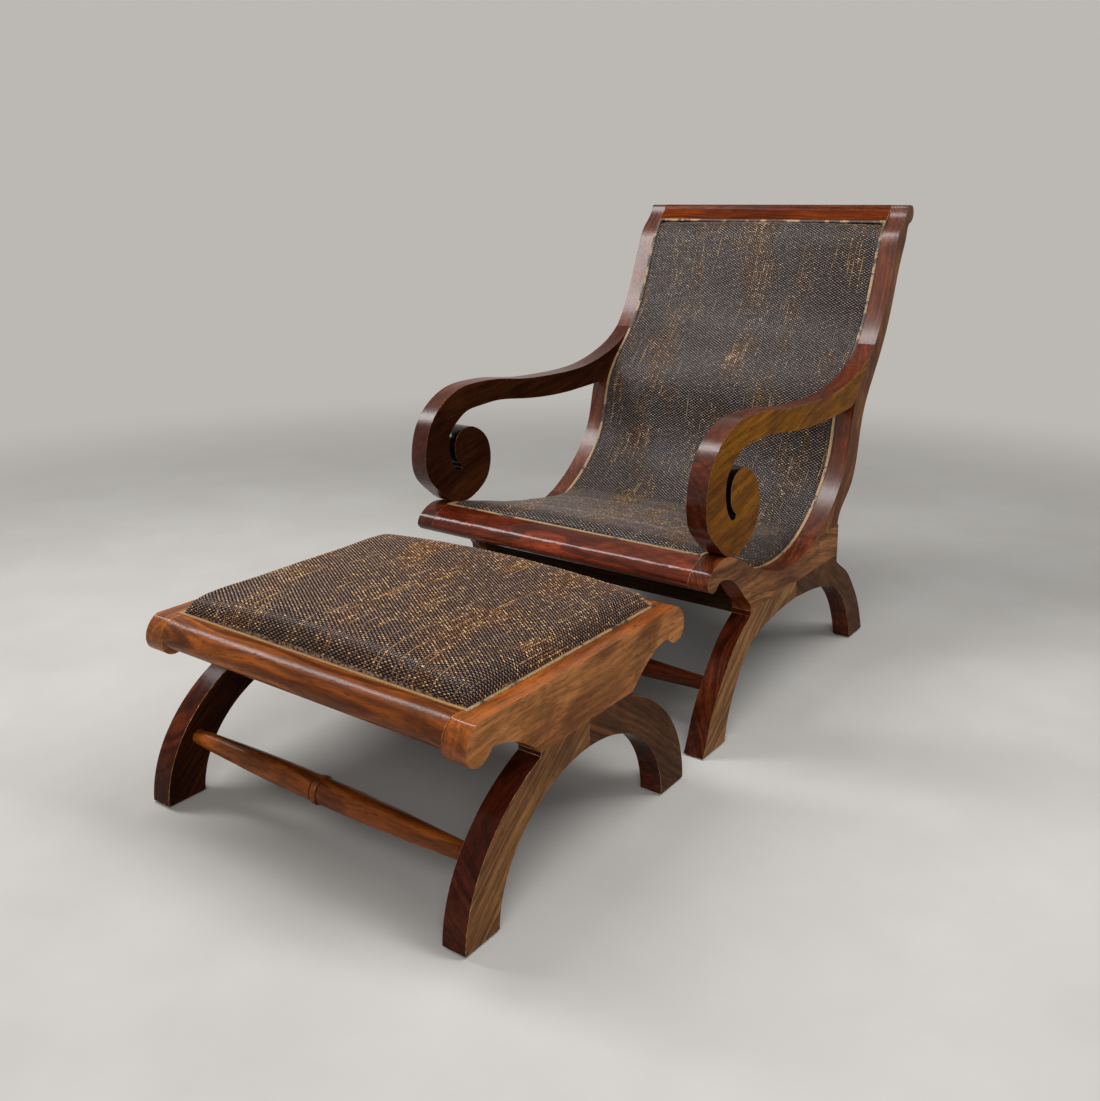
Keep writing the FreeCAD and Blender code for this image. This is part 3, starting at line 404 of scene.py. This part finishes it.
def coat(name, material, arris_material):
    """Gives one piece its finish, and the finish of its arrises."""
    piece = nodes[name]
    piece.data.materials.clear()
    piece.data.materials.append(material)
    piece.data.materials.append(arris_material)
    return piece


def finish_wood(name, wood, width=ARRIS_WIDTH):
    """Stains one wooden piece and rounds its arrises."""
    # Arrises take the pale colour of wear and painted highlight, except on the plain ones.
    piece = coat(name, woods[wood], woods[wood if wood in PLAIN_ARRISES else "wear_and_highlight"])
    for face in piece.data.polygons:
        face.use_smooth = True
    soften(piece, width)


for side in ("left", "right"):
    finish_wood(side + "_seat_board", "seat_board")
    finish_wood(side + "_back_post", "post")
    finish_wood(side + "_arm", "arm")
    finish_wood(side + "_front_leg", "front_leg")
    finish_wood(side + "_rear_leg", "rear_leg")
    finish_wood(side + "_slat_cleat", "inner", CLEAT_ARRIS_WIDTH)
    finish_wood(side + "_stool_side_board", "stool_board")
    finish_wood(side + "_stool_front_leg", "front_leg")
    finish_wood(side + "_stool_rear_leg", "rear_leg")
finish_wood("front_seat_rail", "front_rail")
finish_wood("top_rail", "top_rail")
finish_wood("stool_front_rail", "stool_rail")
finish_wood("stool_rear_rail", "stool_rail")
for name in ("front_under_rail", "rear_under_rail", "stool_base_panel", "chair_corner_blocks",
             "stool_corner_blocks") + tuple("support_slat_%02d" % i for i in range(1, 13)):
    finish_wood(name, "inner", INNER_ARRIS_WIDTH)
finish_wood("front_stretcher", "dark_turned", TURNED_ARRIS_WIDTH)
finish_wood("stool_stretcher", "turned", TURNED_ARRIS_WIDTH)
for name in ("chair_dowels", "stool_dowels"):
    finish_wood(name, "wear_and_highlight", DOWEL_ARRIS_WIDTH)
for name in [n for n in nodes if n.endswith("_bead")]:
    strip = tan_strip if name in ("stool_front_bead", "stool_rear_bead") else stained_strip
    soften(coat(name, strip, strip), BEAD_ARRIS_WIDTH, 2)
for name in ("chair_foot_glides", "stool_foot_glides"):
    soften(coat(name, glide_plastic, glide_plastic), GLIDE_ARRIS_WIDTH, 2)


# Columns of a pad, and how far its underside is drawn in on each side.
PAD_COLUMNS, DRAWN_IN = 80, 0.004
# How the lower corner of a pad is found, and how far apart its points are at least.
SIDE_FACE, ON_THE_CORNER, CORNER_STEP = 0.02, 0.00008, 0.003
# Length of the rolled ends with their rows, and the reach over which a row's direction is taken.
ROLL, RUN_AROUND = 0.035, 0.012
ROWS_IN_ROLL = (0.0004, 0.002, 0.005, 0.010, 0.017, 0.025)
# Where the rays start that feel for the top of a pad, how far they go, and what stands in for a missed one.
RAY_FROM, RAY_REACH, RAY_INSET, MISSED_RISE = 0.12, 0.2, 0.0002, 0.001
POINTS_OVER_PAD = 90
# Rows and columns at the rim that the stuffing doesn't lift.
HELD_ROWS, HELD_COLUMNS = 6, 3
OFF_THE_MAP = (2.0, 2.0)


def base_line(node, base_x):
    """Points along the lower corner of a pad, front to back, where its flat underside ends."""
    mesh = nodes[node].data
    places = set()
    for face in mesh.polygons:
        if abs(face.normal.x) < SIDE_FACE:
            corners = [mesh.vertices[i].co for i in face.vertices]
            on_line = [c for c in corners if abs(c.x - base_x) < ON_THE_CORNER]
            places.update((round(c.y, 5), round(c.z, 5)) for c in on_line)
    line = []
    for y, z in sorted(places):
        point = Vector((0, y, z))
        if not line or (point - line[-1]).length > CORNER_STEP:
            line.append(point)
    return line


def point_on(line, distance):
    """The point of a line at a distance from its start."""
    for a, b in zip(line, line[1:]):
        step = (b - a).length
        if distance <= step:
            return a.lerp(b, distance / step)
        distance -= step
    return line[-1].copy()


def pad_rows(node, spacing):
    """Base point and upward direction of each row of a pad, close together in its rolled ends."""
    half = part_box(node)[1].x
    line = base_line(node, half - DRAWN_IN)
    length = sum((b - a).length for a, b in zip(line, line[1:]))
    flat_run = length - 2 * ROLL
    count = round(flat_run / spacing)
    middle = [ROLL + flat_run * i / count for i in range(count + 1)]
    rows = []
    for d in [*ROWS_IN_ROLL, *middle, *(length - d for d in reversed(ROWS_IN_ROLL))]:
        run = point_on(line, min(d + RUN_AROUND, length)) - point_on(line, max(d - RUN_AROUND, 0.0))
        rows.append((point_on(line, d), Vector((0, -run.z, run.y)).normalized()))
    return rows, half


def top_of_pad(tree, base, up, half):
    """Points across the top of a pad, from one edge to the other, close together on its rolled sides."""
    points = []
    for i in range(POINTS_OVER_PAD + 1):
        x = (half - RAY_INSET) * math.sin(math.pi * (i / POINTS_OVER_PAD - 0.5))
        start = base + up * RAY_FROM + Vector((x, 0, 0))
        hit = tree.ray_cast(start, -up, RAY_REACH)[0]
        points.append(hit if hit else base + Vector((x, 0, 0)) + up * MISSED_RISE)
    return points


def spread_even(points, count):
    """The same line cut into equal lengths."""
    reach = [0.0]
    for a, b in zip(points, points[1:]):
        reach.append(reach[-1] + (b - a).length)
    result, i = [], 0
    for step in range(count + 1):
        wanted = reach[-1] * step / count
        while i < len(points) - 2 and reach[i + 1] < wanted:
            i += 1
        share = (wanted - reach[i]) / max(reach[i + 1] - reach[i], 1e-9)
        result.append(points[i].lerp(points[i + 1], min(share, 1.0)))
    return result, reach[-1]


def shaped_pad(name, node, spacing):
    """Closed pad over its frame: crowned top with its flat places kept as UV, walls and a flat underside."""
    tree = BVHTree.FromPolygons([v.co for v in nodes[node].data.vertices],
                                [tuple(f.vertices) for f in nodes[node].data.polygons])
    rows, half = pad_rows(node, spacing)
    tops, widths = [], []
    for base, up in rows:
        top, width = spread_even(top_of_pad(tree, base, up, half), PAD_COLUMNS)
        tops.append(top)
        widths.append(width)
    reach = [0.0]
    middle = PAD_COLUMNS // 2
    for a, b in zip(tops, tops[1:]):
        reach.append(reach[-1] + (b[middle] - a[middle]).length)
    base_half = half - DRAWN_IN
    made = bmesh.new()
    flat = made.loops.layers.uv.new("flat_place")
    grid, corners = [], []
    for (base, up), top in zip(rows, tops):
        grid.append([made.verts.new(p) for p in top])
        corners.append([made.verts.new(base + Vector((x, 0, 0))) for x in (-base_half, base_half)])
    for j in range(len(rows) - 1):
        for i in range(PAD_COLUMNS):
            face = made.faces.new((grid[j][i], grid[j][i + 1], grid[j + 1][i + 1], grid[j + 1][i]))
            for loop, (a, b) in zip(face.loops, ((i, j), (i + 1, j), (i + 1, j + 1), (i, j + 1))):
                loop[flat].uv = (a / PAD_COLUMNS, reach[b] / reach[-1])
        left, right = corners[j], corners[j + 1]
        made.faces.new((left[0], grid[j][0], grid[j + 1][0], right[0]))
        made.faces.new((grid[j][-1], left[1], right[1], grid[j + 1][-1]))
        under = made.faces.new((left[1], left[0], right[0], right[1]))
        for loop in under.loops:
            loop[flat].uv = OFF_THE_MAP
    made.faces.new([corners[0][0], corners[0][1]] + grid[0][::-1])
    made.faces.new(grid[-1] + [corners[-1][1], corners[-1][0]])
    made.normal_update()
    mesh = bpy.data.meshes.new(name)
    made.to_mesh(mesh)
    made.free()
    pad = bpy.data.objects.new(name, mesh)
    scene.collection.objects.link(pad)
    points_in_row = PAD_COLUMNS + 3
    loose = {j * points_in_row + i for j in range(HELD_ROWS, len(rows) - HELD_ROWS)
             for i in range(HELD_COLUMNS, PAD_COLUMNS + 1 - HELD_COLUMNS)}
    held = pad.vertex_groups.new(name="held")
    held.add([v.index for v in mesh.vertices if v.index not in loose], 1.0, "REPLACE")
    return pad, sum(widths) / len(widths), reach[-1]


SWELL_FRAMES, SWELL_PRESSURE, MOST_SWELL, SMOOTHING_PASSES = 20, 4.0, 0.004, 60


def stuff(pad):
    """Swells a pad under its cover with a cloth simulation, evened out, no point by more than a limit."""
    rest = [v.co.copy() for v in pad.data.vertices]
    normals = [v.normal.copy() for v in pad.data.vertices]
    cloth = pad.modifiers.new("stuffing", "CLOTH")
    settings = cloth.settings
    settings.use_pressure = True
    settings.uniform_pressure_force = SWELL_PRESSURE
    settings.effector_weights.gravity = 0.0
    settings.vertex_group_mass = "held"
    settings.quality = 8
    cloth.point_cache.frame_start, cloth.point_cache.frame_end = 1, SWELL_FRAMES
    for frame_number in range(1, SWELL_FRAMES + 1):
        scene.frame_set(frame_number)
    swollen = pad.evaluated_get(bpy.context.evaluated_depsgraph_get()).to_mesh()
    swell = [max((v.co - before).dot(normal), 0.0)
             for v, before, normal in zip(swollen.vertices, rest, normals)]
    pad.modifiers.remove(cloth)
    scene.frame_set(1)
    held = {v.index for v in pad.data.vertices if v.groups}
    neighbours = [[] for _ in rest]
    for edge in pad.data.edges:
        a, b = edge.vertices
        neighbours[a].append(b)
        neighbours[b].append(a)
    for _ in range(SMOOTHING_PASSES):
        swell = [0.0 if i in held else (swell[i] + sum(swell[n] for n in near)) / (1 + len(near))
                 for i, near in enumerate(neighbours)]
    for vertex, before, normal, rise in zip(pad.data.vertices, rest, normals, swell):
        vertex.co = before + normal * (MOST_SWELL * math.tanh(rise / (2 * MOST_SWELL)))


# Random rise and fall of the strands, and the shares of the cover that its rim keeps free.
UNEVEN_HEIGHT = 0.00035
EDGE_SHARE, END_SHARE = 0.001, 0.0008


def make_woven_strands():
    """Flat strands of a plain weave, over and under each other, laid on a pad by its flat places."""
    tree, given, out = group(
        "woven_strands", "GeometryNodeTree",
        {"Cover": (MESH, None), "Strands": (WHOLE, 10), "Points": (WHOLE, 10), "Profile": (WHOLE, 3),
         "Crossings": (NUMBER, 10.0), "Strand Width": (NUMBER, 0.94), "Lift": (NUMBER, 0.0006),
         "Crown": (NUMBER, 0.0004), "Base Height": (NUMBER, 0.001), "Crosswise": (NUMBER, 1.0),
         "Width": (NUMBER, 0.6), "Length": (NUMBER, 1.0), "Drift": (NUMBER, 0.003), "Seed": (WHOLE, 7),
         "Material": (MATERIAL, None)},
        {"Strands": MESH},
    )
    take = given.outputs
    rows = calc(tree, "MULTIPLY", take["Strands"], take["Profile"])
    last_x = calc(tree, "SUBTRACT", take["Points"], 1.0)
    last_y = calc(tree, "SUBTRACT", rows, 1.0)
    sizes = {"Size X": last_x, "Size Y": last_y, "Vertices X": take["Points"], "Vertices Y": rows}
    grid = add(tree, "GeometryNodeMeshGrid", sizes).outputs["Mesh"]
    at = add(tree, "ShaderNodeSeparateXYZ", {0: add(tree, "GeometryNodeInputPosition").outputs[0]})
    column = calc(tree, "ADD", at.outputs[0], calc(tree, "MULTIPLY", last_x, 0.5))
    row = calc(tree, "ADD", at.outputs[1], calc(tree, "MULTIPLY", last_y, 0.5))
    gap_row = calc(tree, "FLOORED_MODULO", calc(tree, "FLOOR", row), take["Profile"])
    in_gap = add(tree, "FunctionNodeCompare", {0: gap_row, 1: calc(tree, "SUBTRACT", take["Profile"], 1.5)},
                 data_type="FLOAT", operation="GREATER_THAN").outputs[0]
    strips = add(tree, "GeometryNodeDeleteGeometry", {"Geometry": grid, "Selection": in_gap}, domain="FACE",
                 mode="ALL").outputs[0]
    strand = calc(tree, "FLOOR", calc(tree, "DIVIDE", calc(tree, "ADD", row, 0.5), take["Profile"]))
    nth = calc(tree, "SUBTRACT", row, calc(tree, "MULTIPLY", strand, take["Profile"]))
    half_profile = calc(tree, "MULTIPLY", calc(tree, "SUBTRACT", take["Profile"], 1.0), 0.5)
    side = calc(tree, "SUBTRACT", calc(tree, "DIVIDE", nth, half_profile), 1.0)
    along = calc(tree, "DIVIDE", calc(tree, "ADD", column, 0.5), take["Points"])
    crossing = calc(tree, "FLOOR", calc(tree, "MULTIPLY", along, take["Crossings"]))
    turn = calc(tree, "ADD", calc(tree, "ADD", crossing, strand), take["Crosswise"])
    over = calc(tree, "SUBTRACT", 1.0, calc(tree, "FLOORED_MODULO", turn, 2.0))
    off_centre = calc(tree, "MULTIPLY", side, calc(tree, "MULTIPLY", take["Strand Width"], 0.5))
    from_edge = calc(tree, "ADD", calc(tree, "ADD", strand, 0.5), off_centre)
    across = calc(tree, "DIVIDE", from_edge, take["Strands"])
    number = calc(tree, "ADD", calc(tree, "MULTIPLY", strand, 1000.0), crossing)
    chance = add(tree, "FunctionNodeRandomValue", {2: 0.0, 3: 1.0, "ID": number, "Seed": take["Seed"]},
                 data_type="FLOAT").outputs[1]
    swap = take["Crosswise"]
    u = add(tree, "ShaderNodeMix", {0: swap, 2: across, 3: along}).outputs[0]
    v = add(tree, "ShaderNodeMix", {0: swap, 2: along, 3: across}).outputs[0]
    flat = add(tree, "ShaderNodeCombineXYZ", {0: calc(tree, "MULTIPLY", u, take["Width"]),
                                              1: calc(tree, "MULTIPLY", v, take["Length"])}).outputs[0]
    wander = add(tree, "ShaderNodeTexNoise", {"Vector": flat, "Scale": 7.0, "Detail": 1.0}).outputs["Color"]
    wander = vector_calc(tree, "SUBTRACT", wander, (0.5, 0.5, 0.5))
    wander = vector_calc(tree, "SCALE", wander, take["Drift"])
    drift = add(tree, "ShaderNodeSeparateXYZ", {0: wander})
    u = calc(tree, "ADD", u, calc(tree, "DIVIDE", drift.outputs[0], take["Width"]))
    v = calc(tree, "ADD", v, calc(tree, "DIVIDE", drift.outputs[1], take["Length"]))
    u = add(tree, "ShaderNodeClamp", {0: u, 1: EDGE_SHARE, 2: 1.0 - EDGE_SHARE}).outputs[0]
    v = add(tree, "ShaderNodeClamp", {0: v, 1: END_SHARE, 2: 1.0 - END_SHARE}).outputs[0]
    place = add(tree, "ShaderNodeCombineXYZ", {0: u, 1: v}).outputs[0]
    crowned = calc(tree, "MULTIPLY", calc(tree, "MULTIPLY", side, side), take["Crown"])
    up_or_down = calc(tree, "SUBTRACT", calc(tree, "MULTIPLY", over, 2.0), 1.0)
    lifted = calc(tree, "SUBTRACT", calc(tree, "MULTIPLY", up_or_down, take["Lift"]), crowned)
    uneven = calc(tree, "MULTIPLY", calc(tree, "SUBTRACT", chance, 0.5), UNEVEN_HEIGHT)
    height = calc(tree, "ADD", lifted, calc(tree, "ADD", take["Base Height"], uneven))
    flat_map = add(tree, "GeometryNodeInputNamedAttribute", {"Name": "flat_place"},
                   data_type="FLOAT_VECTOR").outputs[0]
    found = []
    for field in ("GeometryNodeInputPosition", "GeometryNodeInputNormal"):
        inputs = {"Mesh": take["Cover"], "Value": add(tree, field).outputs[0], "UV Map": flat_map,
                  "Sample UV": place}
        sample = add(tree, "GeometryNodeSampleUVSurface", inputs, data_type="FLOAT_VECTOR")
        found.append(sample.outputs["Value"])
    kept = strips
    off_middle = calc(tree, "ABSOLUTE", side)
    for label, kind, value in (("raised", "FLOAT", over), ("off_middle", "FLOAT", off_middle),
                               ("chance", "FLOAT", chance), ("flat", "FLOAT_VECTOR", flat)):
        kept = add(tree, "GeometryNodeStoreNamedAttribute", {"Geometry": kept, "Name": label, "Value": value},
                   data_type=kind, domain="POINT").outputs[0]
    where = vector_calc(tree, "ADD", found[0], vector_calc(tree, "SCALE", found[1], height))
    laid = add(tree, "GeometryNodeSetPosition", {"Geometry": kept, "Position": where}).outputs[0]
    smooth = add(tree, "GeometryNodeSetShadeSmooth", {"Geometry": laid}).outputs[0]
    real = add(tree, "GeometryNodeRealizeInstances", {"Geometry": smooth}).outputs[0]
    done = add(tree, "GeometryNodeSetMaterial", {"Geometry": real, "Material": take["Material"]}).outputs[0]
    give(tree, out, {"Strands": done})
    return tree


woven_strands = make_woven_strands()
socket_names = {item.name: item.identifier for item in woven_strands.interface.items_tree
                if item.in_out == "INPUT"}


def lay_strands(name, pad, body, slot_name, **sizes):
    """One family of strands of a pad's cover, as a mesh of its own."""
    host = bpy.data.objects.new(name + "_host", pad.data)
    scene.collection.objects.link(host)
    modifier = host.modifiers.new("weave", "NODES")
    modifier.node_group = woven_strands
    for label, value in sizes.items():
        modifier[socket_names[label.replace("_", " ")]] = value
    bpy.context.view_layer.update()
    depsgraph = bpy.context.evaluated_depsgraph_get()
    mesh = bpy.data.meshes.new_from_object(host.evaluated_get(depsgraph), preserve_all_data_layers=True,
                                           depsgraph=depsgraph)
    mesh.name = name
    host.modifiers.remove(modifier)
    bpy.data.objects.remove(host)
    strands = bpy.data.objects.new(name, mesh)
    scene.collection.objects.link(strands)
    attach(strands, body)


def make_woven_rattan():
    """Stained strands, painted near black as shade where they dip, rubbed back to tan in spots, or in streaks
    along them.
    """
    tree, given, out = group(
        "woven_rattan", "ShaderNodeTree",
        {"Dark": (COLOUR, GREY), "Stained": (COLOUR, GREY), "Browner": (COLOUR, GREY), "Bare": (COLOUR, GREY),
         "Wear": (NUMBER, 1.0), "Streaky": (NUMBER, 0.0)},
        {"Colour": COLOUR, "Roughness": NUMBER, "Gloss": NUMBER, "Height": NUMBER},
    )
    found = {}
    for label in ("raised", "off_middle", "chance", "flat"):
        made = add(tree, "ShaderNodeAttribute", attribute_type="GEOMETRY", attribute_name=label)
        found[label] = made.outputs["Vector" if label == "flat" else "Fac"]
    flat, wear, streaky = found["flat"], given.outputs["Wear"], given.outputs["Streaky"]
    on_top = calc(tree, "MULTIPLY", between(tree, found["raised"], 0.4, 0.7),
                  between(tree, found["off_middle"], 0.9, 0.5))
    patches = noise(tree, stretched(tree, flat, 11, 4, 1), 1.0, 3.0, 0.6)
    runs = noise(tree, stretched(tree, flat, 210, 8, 1), 1.0, 2.0, 0.6)
    specks = noise(tree, stretched(tree, flat, 330, 500, 1), 1.0, 2.0, 0.6)
    uneven = between(tree, calc(tree, "ADD", found["chance"], specks), 0.4, 1.6, 0.6, 1.35)
    hue = mixed(tree, between(tree, patches, 0.45, 0.7), given.outputs["Stained"], given.outputs["Browner"])
    # Painted shade: where a strand dips under its neighbours it takes the near-black dark colour.
    base = mixed(tree, on_top, given.outputs["Dark"], mixed(tree, 1.0, hue, grey(tree, uneven), "MULTIPLY"))
    spotty = calc(tree, "SUBTRACT", 0.62, calc(tree, "MULTIPLY", streaky, 0.47))
    rubbed = calc(tree, "MULTIPLY", found["chance"], spotty)
    rubbed = calc(tree, "ADD", rubbed, calc(tree, "MULTIPLY", patches, 0.5))
    rubbed = calc(tree, "ADD", rubbed, calc(tree, "MULTIPLY", runs, calc(tree, "ADD", streaky, 0.2)))
    rubbed = calc(tree, "ADD", rubbed, calc(tree, "MULTIPLY", specks, 0.2))
    share = calc(tree, "MULTIPLY", between(tree, rubbed, wear, calc(tree, "ADD", wear, 0.2)), on_top)
    give(tree, out, {"Colour": mixed(tree, share, base, given.outputs["Bare"]), "Height": specks,
                     "Roughness": between(tree, on_top, 0.0, 1.0, 0.85, 0.42),
                     "Gloss": calc(tree, "MULTIPLY", on_top, 0.45)})
    return tree


woven_rattan = make_woven_rattan()


def make_rattan_weave(name, **look):
    """One colour of the woven rattan, lacquered on top."""
    material, tree, shader = new_material(name)
    inputs = {label.title(): value for label, value in look.items()}
    weave = add(tree, "ShaderNodeGroup", inputs, node_tree=woven_rattan).outputs
    tree.links.new(weave["Colour"], shader.inputs["Base Color"])
    tree.links.new(weave["Roughness"], shader.inputs["Roughness"])
    tree.links.new(weave["Gloss"], shader.inputs["Coat Weight"])
    roughened(tree, shader, weave["Height"], 0.4, 0.0003)
    shader.inputs["Coat Roughness"].default_value = 0.22
    shader.inputs["Specular IOR Level"].default_value = 0.05
    return material


def make_lining_cloth():
    """Dark backing cloth under the rattan, finely woven, with ends of rattan on the walls of the pad."""
    material, tree, shader = new_material("lining_cloth")
    place = add(tree, "ShaderNodeTexCoord").outputs["Object"]
    threads = noise(tree, stretched(tree, place, 900, 900, 900), 1.0, 1.0)
    cloth = mixed(tree, between(tree, threads, 0.3, 0.7), tint("120d0a"), tint("241a14"))
    from_corner = distance_between(tree, add(tree, "ShaderNodeUVMap", uv_map="flat_place").outputs[0])
    wall = between(tree, from_corner, 0.004, 0.0)
    ends = between(tree, noise(tree, place, 260.0, 2.0), 0.42, 0.60)
    colour = mixed(tree, calc(tree, "MULTIPLY", wall, ends), cloth, tint("9a7c68"))
    tree.links.new(colour, shader.inputs["Base Color"])
    roughened(tree, shader, threads, 0.5, 0.0004)
    shader.inputs["Roughness"].default_value = 0.85
    return material


lining_cloth = make_lining_cloth()
# The dark colour of each weave is painted shade, for the parts of the strands that dip under.
crosswise_rattan = make_rattan_weave(
    "crosswise_rattan", dark=tint("030202"), stained=tint("7b6d67"), browner=tint("84674f"),
    bare=tint("e0c29c"), wear=0.95, streaky=0.0)
lengthwise_rattan = make_rattan_weave(
    "lengthwise_rattan", dark=tint("030202"), stained=tint("0e0a08"), browner=tint("24180f"),
    bare=tint("c09a70"), wear=1.13, streaky=1.0)
stool_crosswise_rattan = make_rattan_weave(
    "stool_crosswise_rattan", dark=tint("050302"), stained=tint("86695a"), browner=tint("8a5d40"),
    bare=tint("e6bc88"), wear=0.90, streaky=0.0)
stool_lengthwise_rattan = make_rattan_weave(
    "stool_lengthwise_rattan", dark=tint("040302"), stained=tint("1c120c"), browner=tint("4a2c1a"),
    bare=tint("cf9a5e"), wear=1.08, streaky=1.0)

# Spacing of the strands that run lengthwise and crosswise, and how far they stray.
COLUMN_PITCH, ROW_PITCH = 0.0048, 0.0031
STRAND_DRIFT = 0.004
CROSSWISE_STRANDS = {"Strand_Width": 0.80, "Lift": 0.0009, "Crown": 0.0008, "Base_Height": 0.0014,
                     "Crosswise": 1.0, "Seed": 7}
LENGTHWISE_STRANDS = {"Strand_Width": 0.66, "Lift": 0.0006, "Crown": 0.0004, "Base_Height": 0.0012,
                      "Crosswise": 0.0, "Seed": 11}


def upholster(prefix, node, body, spacing, points, crosswise, lengthwise):
    """Makes one pad with its stuffing and both families of its strands, in place of its CAD node."""
    pad, width, length = shaped_pad(prefix + "_lining", node, spacing)
    stuff(pad)
    across = round(width / COLUMN_PITCH)
    along = round(length / ROW_PITCH)
    shared = {"Profile": 3, "Width": width, "Length": length, "Drift": STRAND_DRIFT}
    lay_strands(prefix + "_crosswise", pad, body, "woven_panel", Strands=along, Points=points * across,
                Crossings=float(across), Material=crosswise, **CROSSWISE_STRANDS, **shared)
    lay_strands(prefix + "_lengthwise", pad, body, "woven_panel", Strands=across, Points=along,
                Crossings=float(along), Material=lengthwise, **LENGTHWISE_STRANDS, **shared)
    pad.data.materials.append(lining_cloth)
    for face in pad.data.polygons:
        face.use_smooth = True
    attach(pad, body)
    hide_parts(node)


upholster("woven_back_and_seat", "woven_seat_and_back", "chair", 0.012, 1,
          crosswise_rattan, lengthwise_rattan)
upholster("woven_stool_top", "stool_woven_pad", "footstool", 0.010, 2,
          stool_crosswise_rattan, stool_lengthwise_rattan)


BACKGROUND = tint("bcb9b4")


def seen_directly(tree):
    """1 for the rays that show the background: straight from the camera, mirrored or through glass."""
    path = add(tree, "ShaderNodeLightPath")
    seen = calc(tree, "ADD", path.outputs["Is Camera Ray"], path.outputs["Is Glossy Ray"])
    return calc(tree, "ADD", seen, path.outputs["Is Transmission Ray"], clamp=True)


# Size of the floor, and the distances between which it fades.
FLOOR_SIZE, FADE_FROM, FADE_TO = 80, 1.5, 3.6
BLACK = (0, 0, 0, 1)


def make_floor():
    """Plain pale floor that fades into the background far from the object."""
    material, tree, shader = new_material("pale_floor")
    place = add(tree, "ShaderNodeTexCoord").outputs["Object"]
    cloud = between(tree, noise(tree, place, 3.0, 4.0, 0.6), 0.2, 0.8)
    faded = between(tree, distance_between(tree, place), FADE_FROM, FADE_TO)
    far = calc(tree, "MULTIPLY", faded, seen_directly(tree))
    colour = mixed(tree, cloud, tint("bdbab5"), tint("c5c3bf"))
    tree.links.new(mixed(tree, far, colour, BLACK), shader.inputs["Base Color"])
    tree.links.new(mixed(tree, far, BLACK, BACKGROUND), shader.inputs["Emission Color"])
    shader.inputs["Emission Strength"].default_value = 1.0
    shader.inputs["Roughness"].default_value = 0.8
    shader.inputs["Specular IOR Level"].default_value = 0.0
    bpy.ops.mesh.primitive_plane_add(size=FLOOR_SIZE, location=(0, 0, 0))
    floor = bpy.context.object
    floor.name = "floor"
    floor.data.materials.append(material)


def aimed(item, place, direction):
    """Puts a light or a camera in its place, looking in a direction."""
    item.location = place
    item.rotation_mode = "QUATERNION"
    item.rotation_quaternion = direction.to_track_quat("-Z", "Y")
    scene.collection.objects.link(item)


def soft_light(name, place, aim, size, power):
    """Rectangular studio light aimed at a point."""
    data = bpy.data.lights.new(name, "AREA")
    data.shape = "RECTANGLE"
    data.size, data.size_y = size
    data.energy = power
    aimed(bpy.data.objects.new(name, data), place, Vector(aim) - Vector(place))


ROOM_LIGHT = (0.17, 0.168, 0.166, 1)


def make_world():
    """Even surroundings, seen as the pale background."""
    world = bpy.data.worlds.new("pale_room")
    world.use_nodes = True
    tree = world.node_tree
    shown = mixed(tree, seen_directly(tree), ROOM_LIGHT, BACKGROUND)
    tree.links.new(shown, tree.nodes["Background"].inputs[0])
    tree.nodes["Background"].inputs[1].default_value = 1.0
    scene.world = world


CAMERA_PLACE = (1.1619, -1.7658, 0.9564)
CAMERA_TURN, CAMERA_TILT = math.radians(35.785), math.radians(11.080)
SENSOR_WIDTH, LENS, UPWARD_SHIFT, FARTHEST = 36, 36.41, -0.1182, 60


def make_camera():
    """Camera a little above the arms, to the right of the footstool."""
    data = bpy.data.cameras.new("camera")
    data.sensor_width = SENSOR_WIDTH
    data.lens = LENS
    data.shift_y = UPWARD_SHIFT
    data.clip_end = FARTHEST
    camera = bpy.data.objects.new("camera", data)
    level = math.cos(CAMERA_TILT)
    forward = Vector((-math.sin(CAMERA_TURN) * level, math.cos(CAMERA_TURN) * level, -math.sin(CAMERA_TILT)))
    aimed(camera, CAMERA_PLACE, forward)
    scene.camera = camera


make_floor()
soft_light("overhead_left", place=(-1.3, -0.6, 2.5), aim=(0, 0.1, 0.4), size=(0.45, 2.4), power=52)
soft_light("overhead_right", place=(1.2, 0.2, 2.6), aim=(0, 0, 0.4), size=(0.45, 2.4), power=42)
soft_light("front_fill", place=(1.6, -2.8, 1.9), aim=(0, 0, 0.4), size=(1.8, 1.4), power=48)
make_world()
make_camera()
scene.view_settings.view_transform = "Standard"
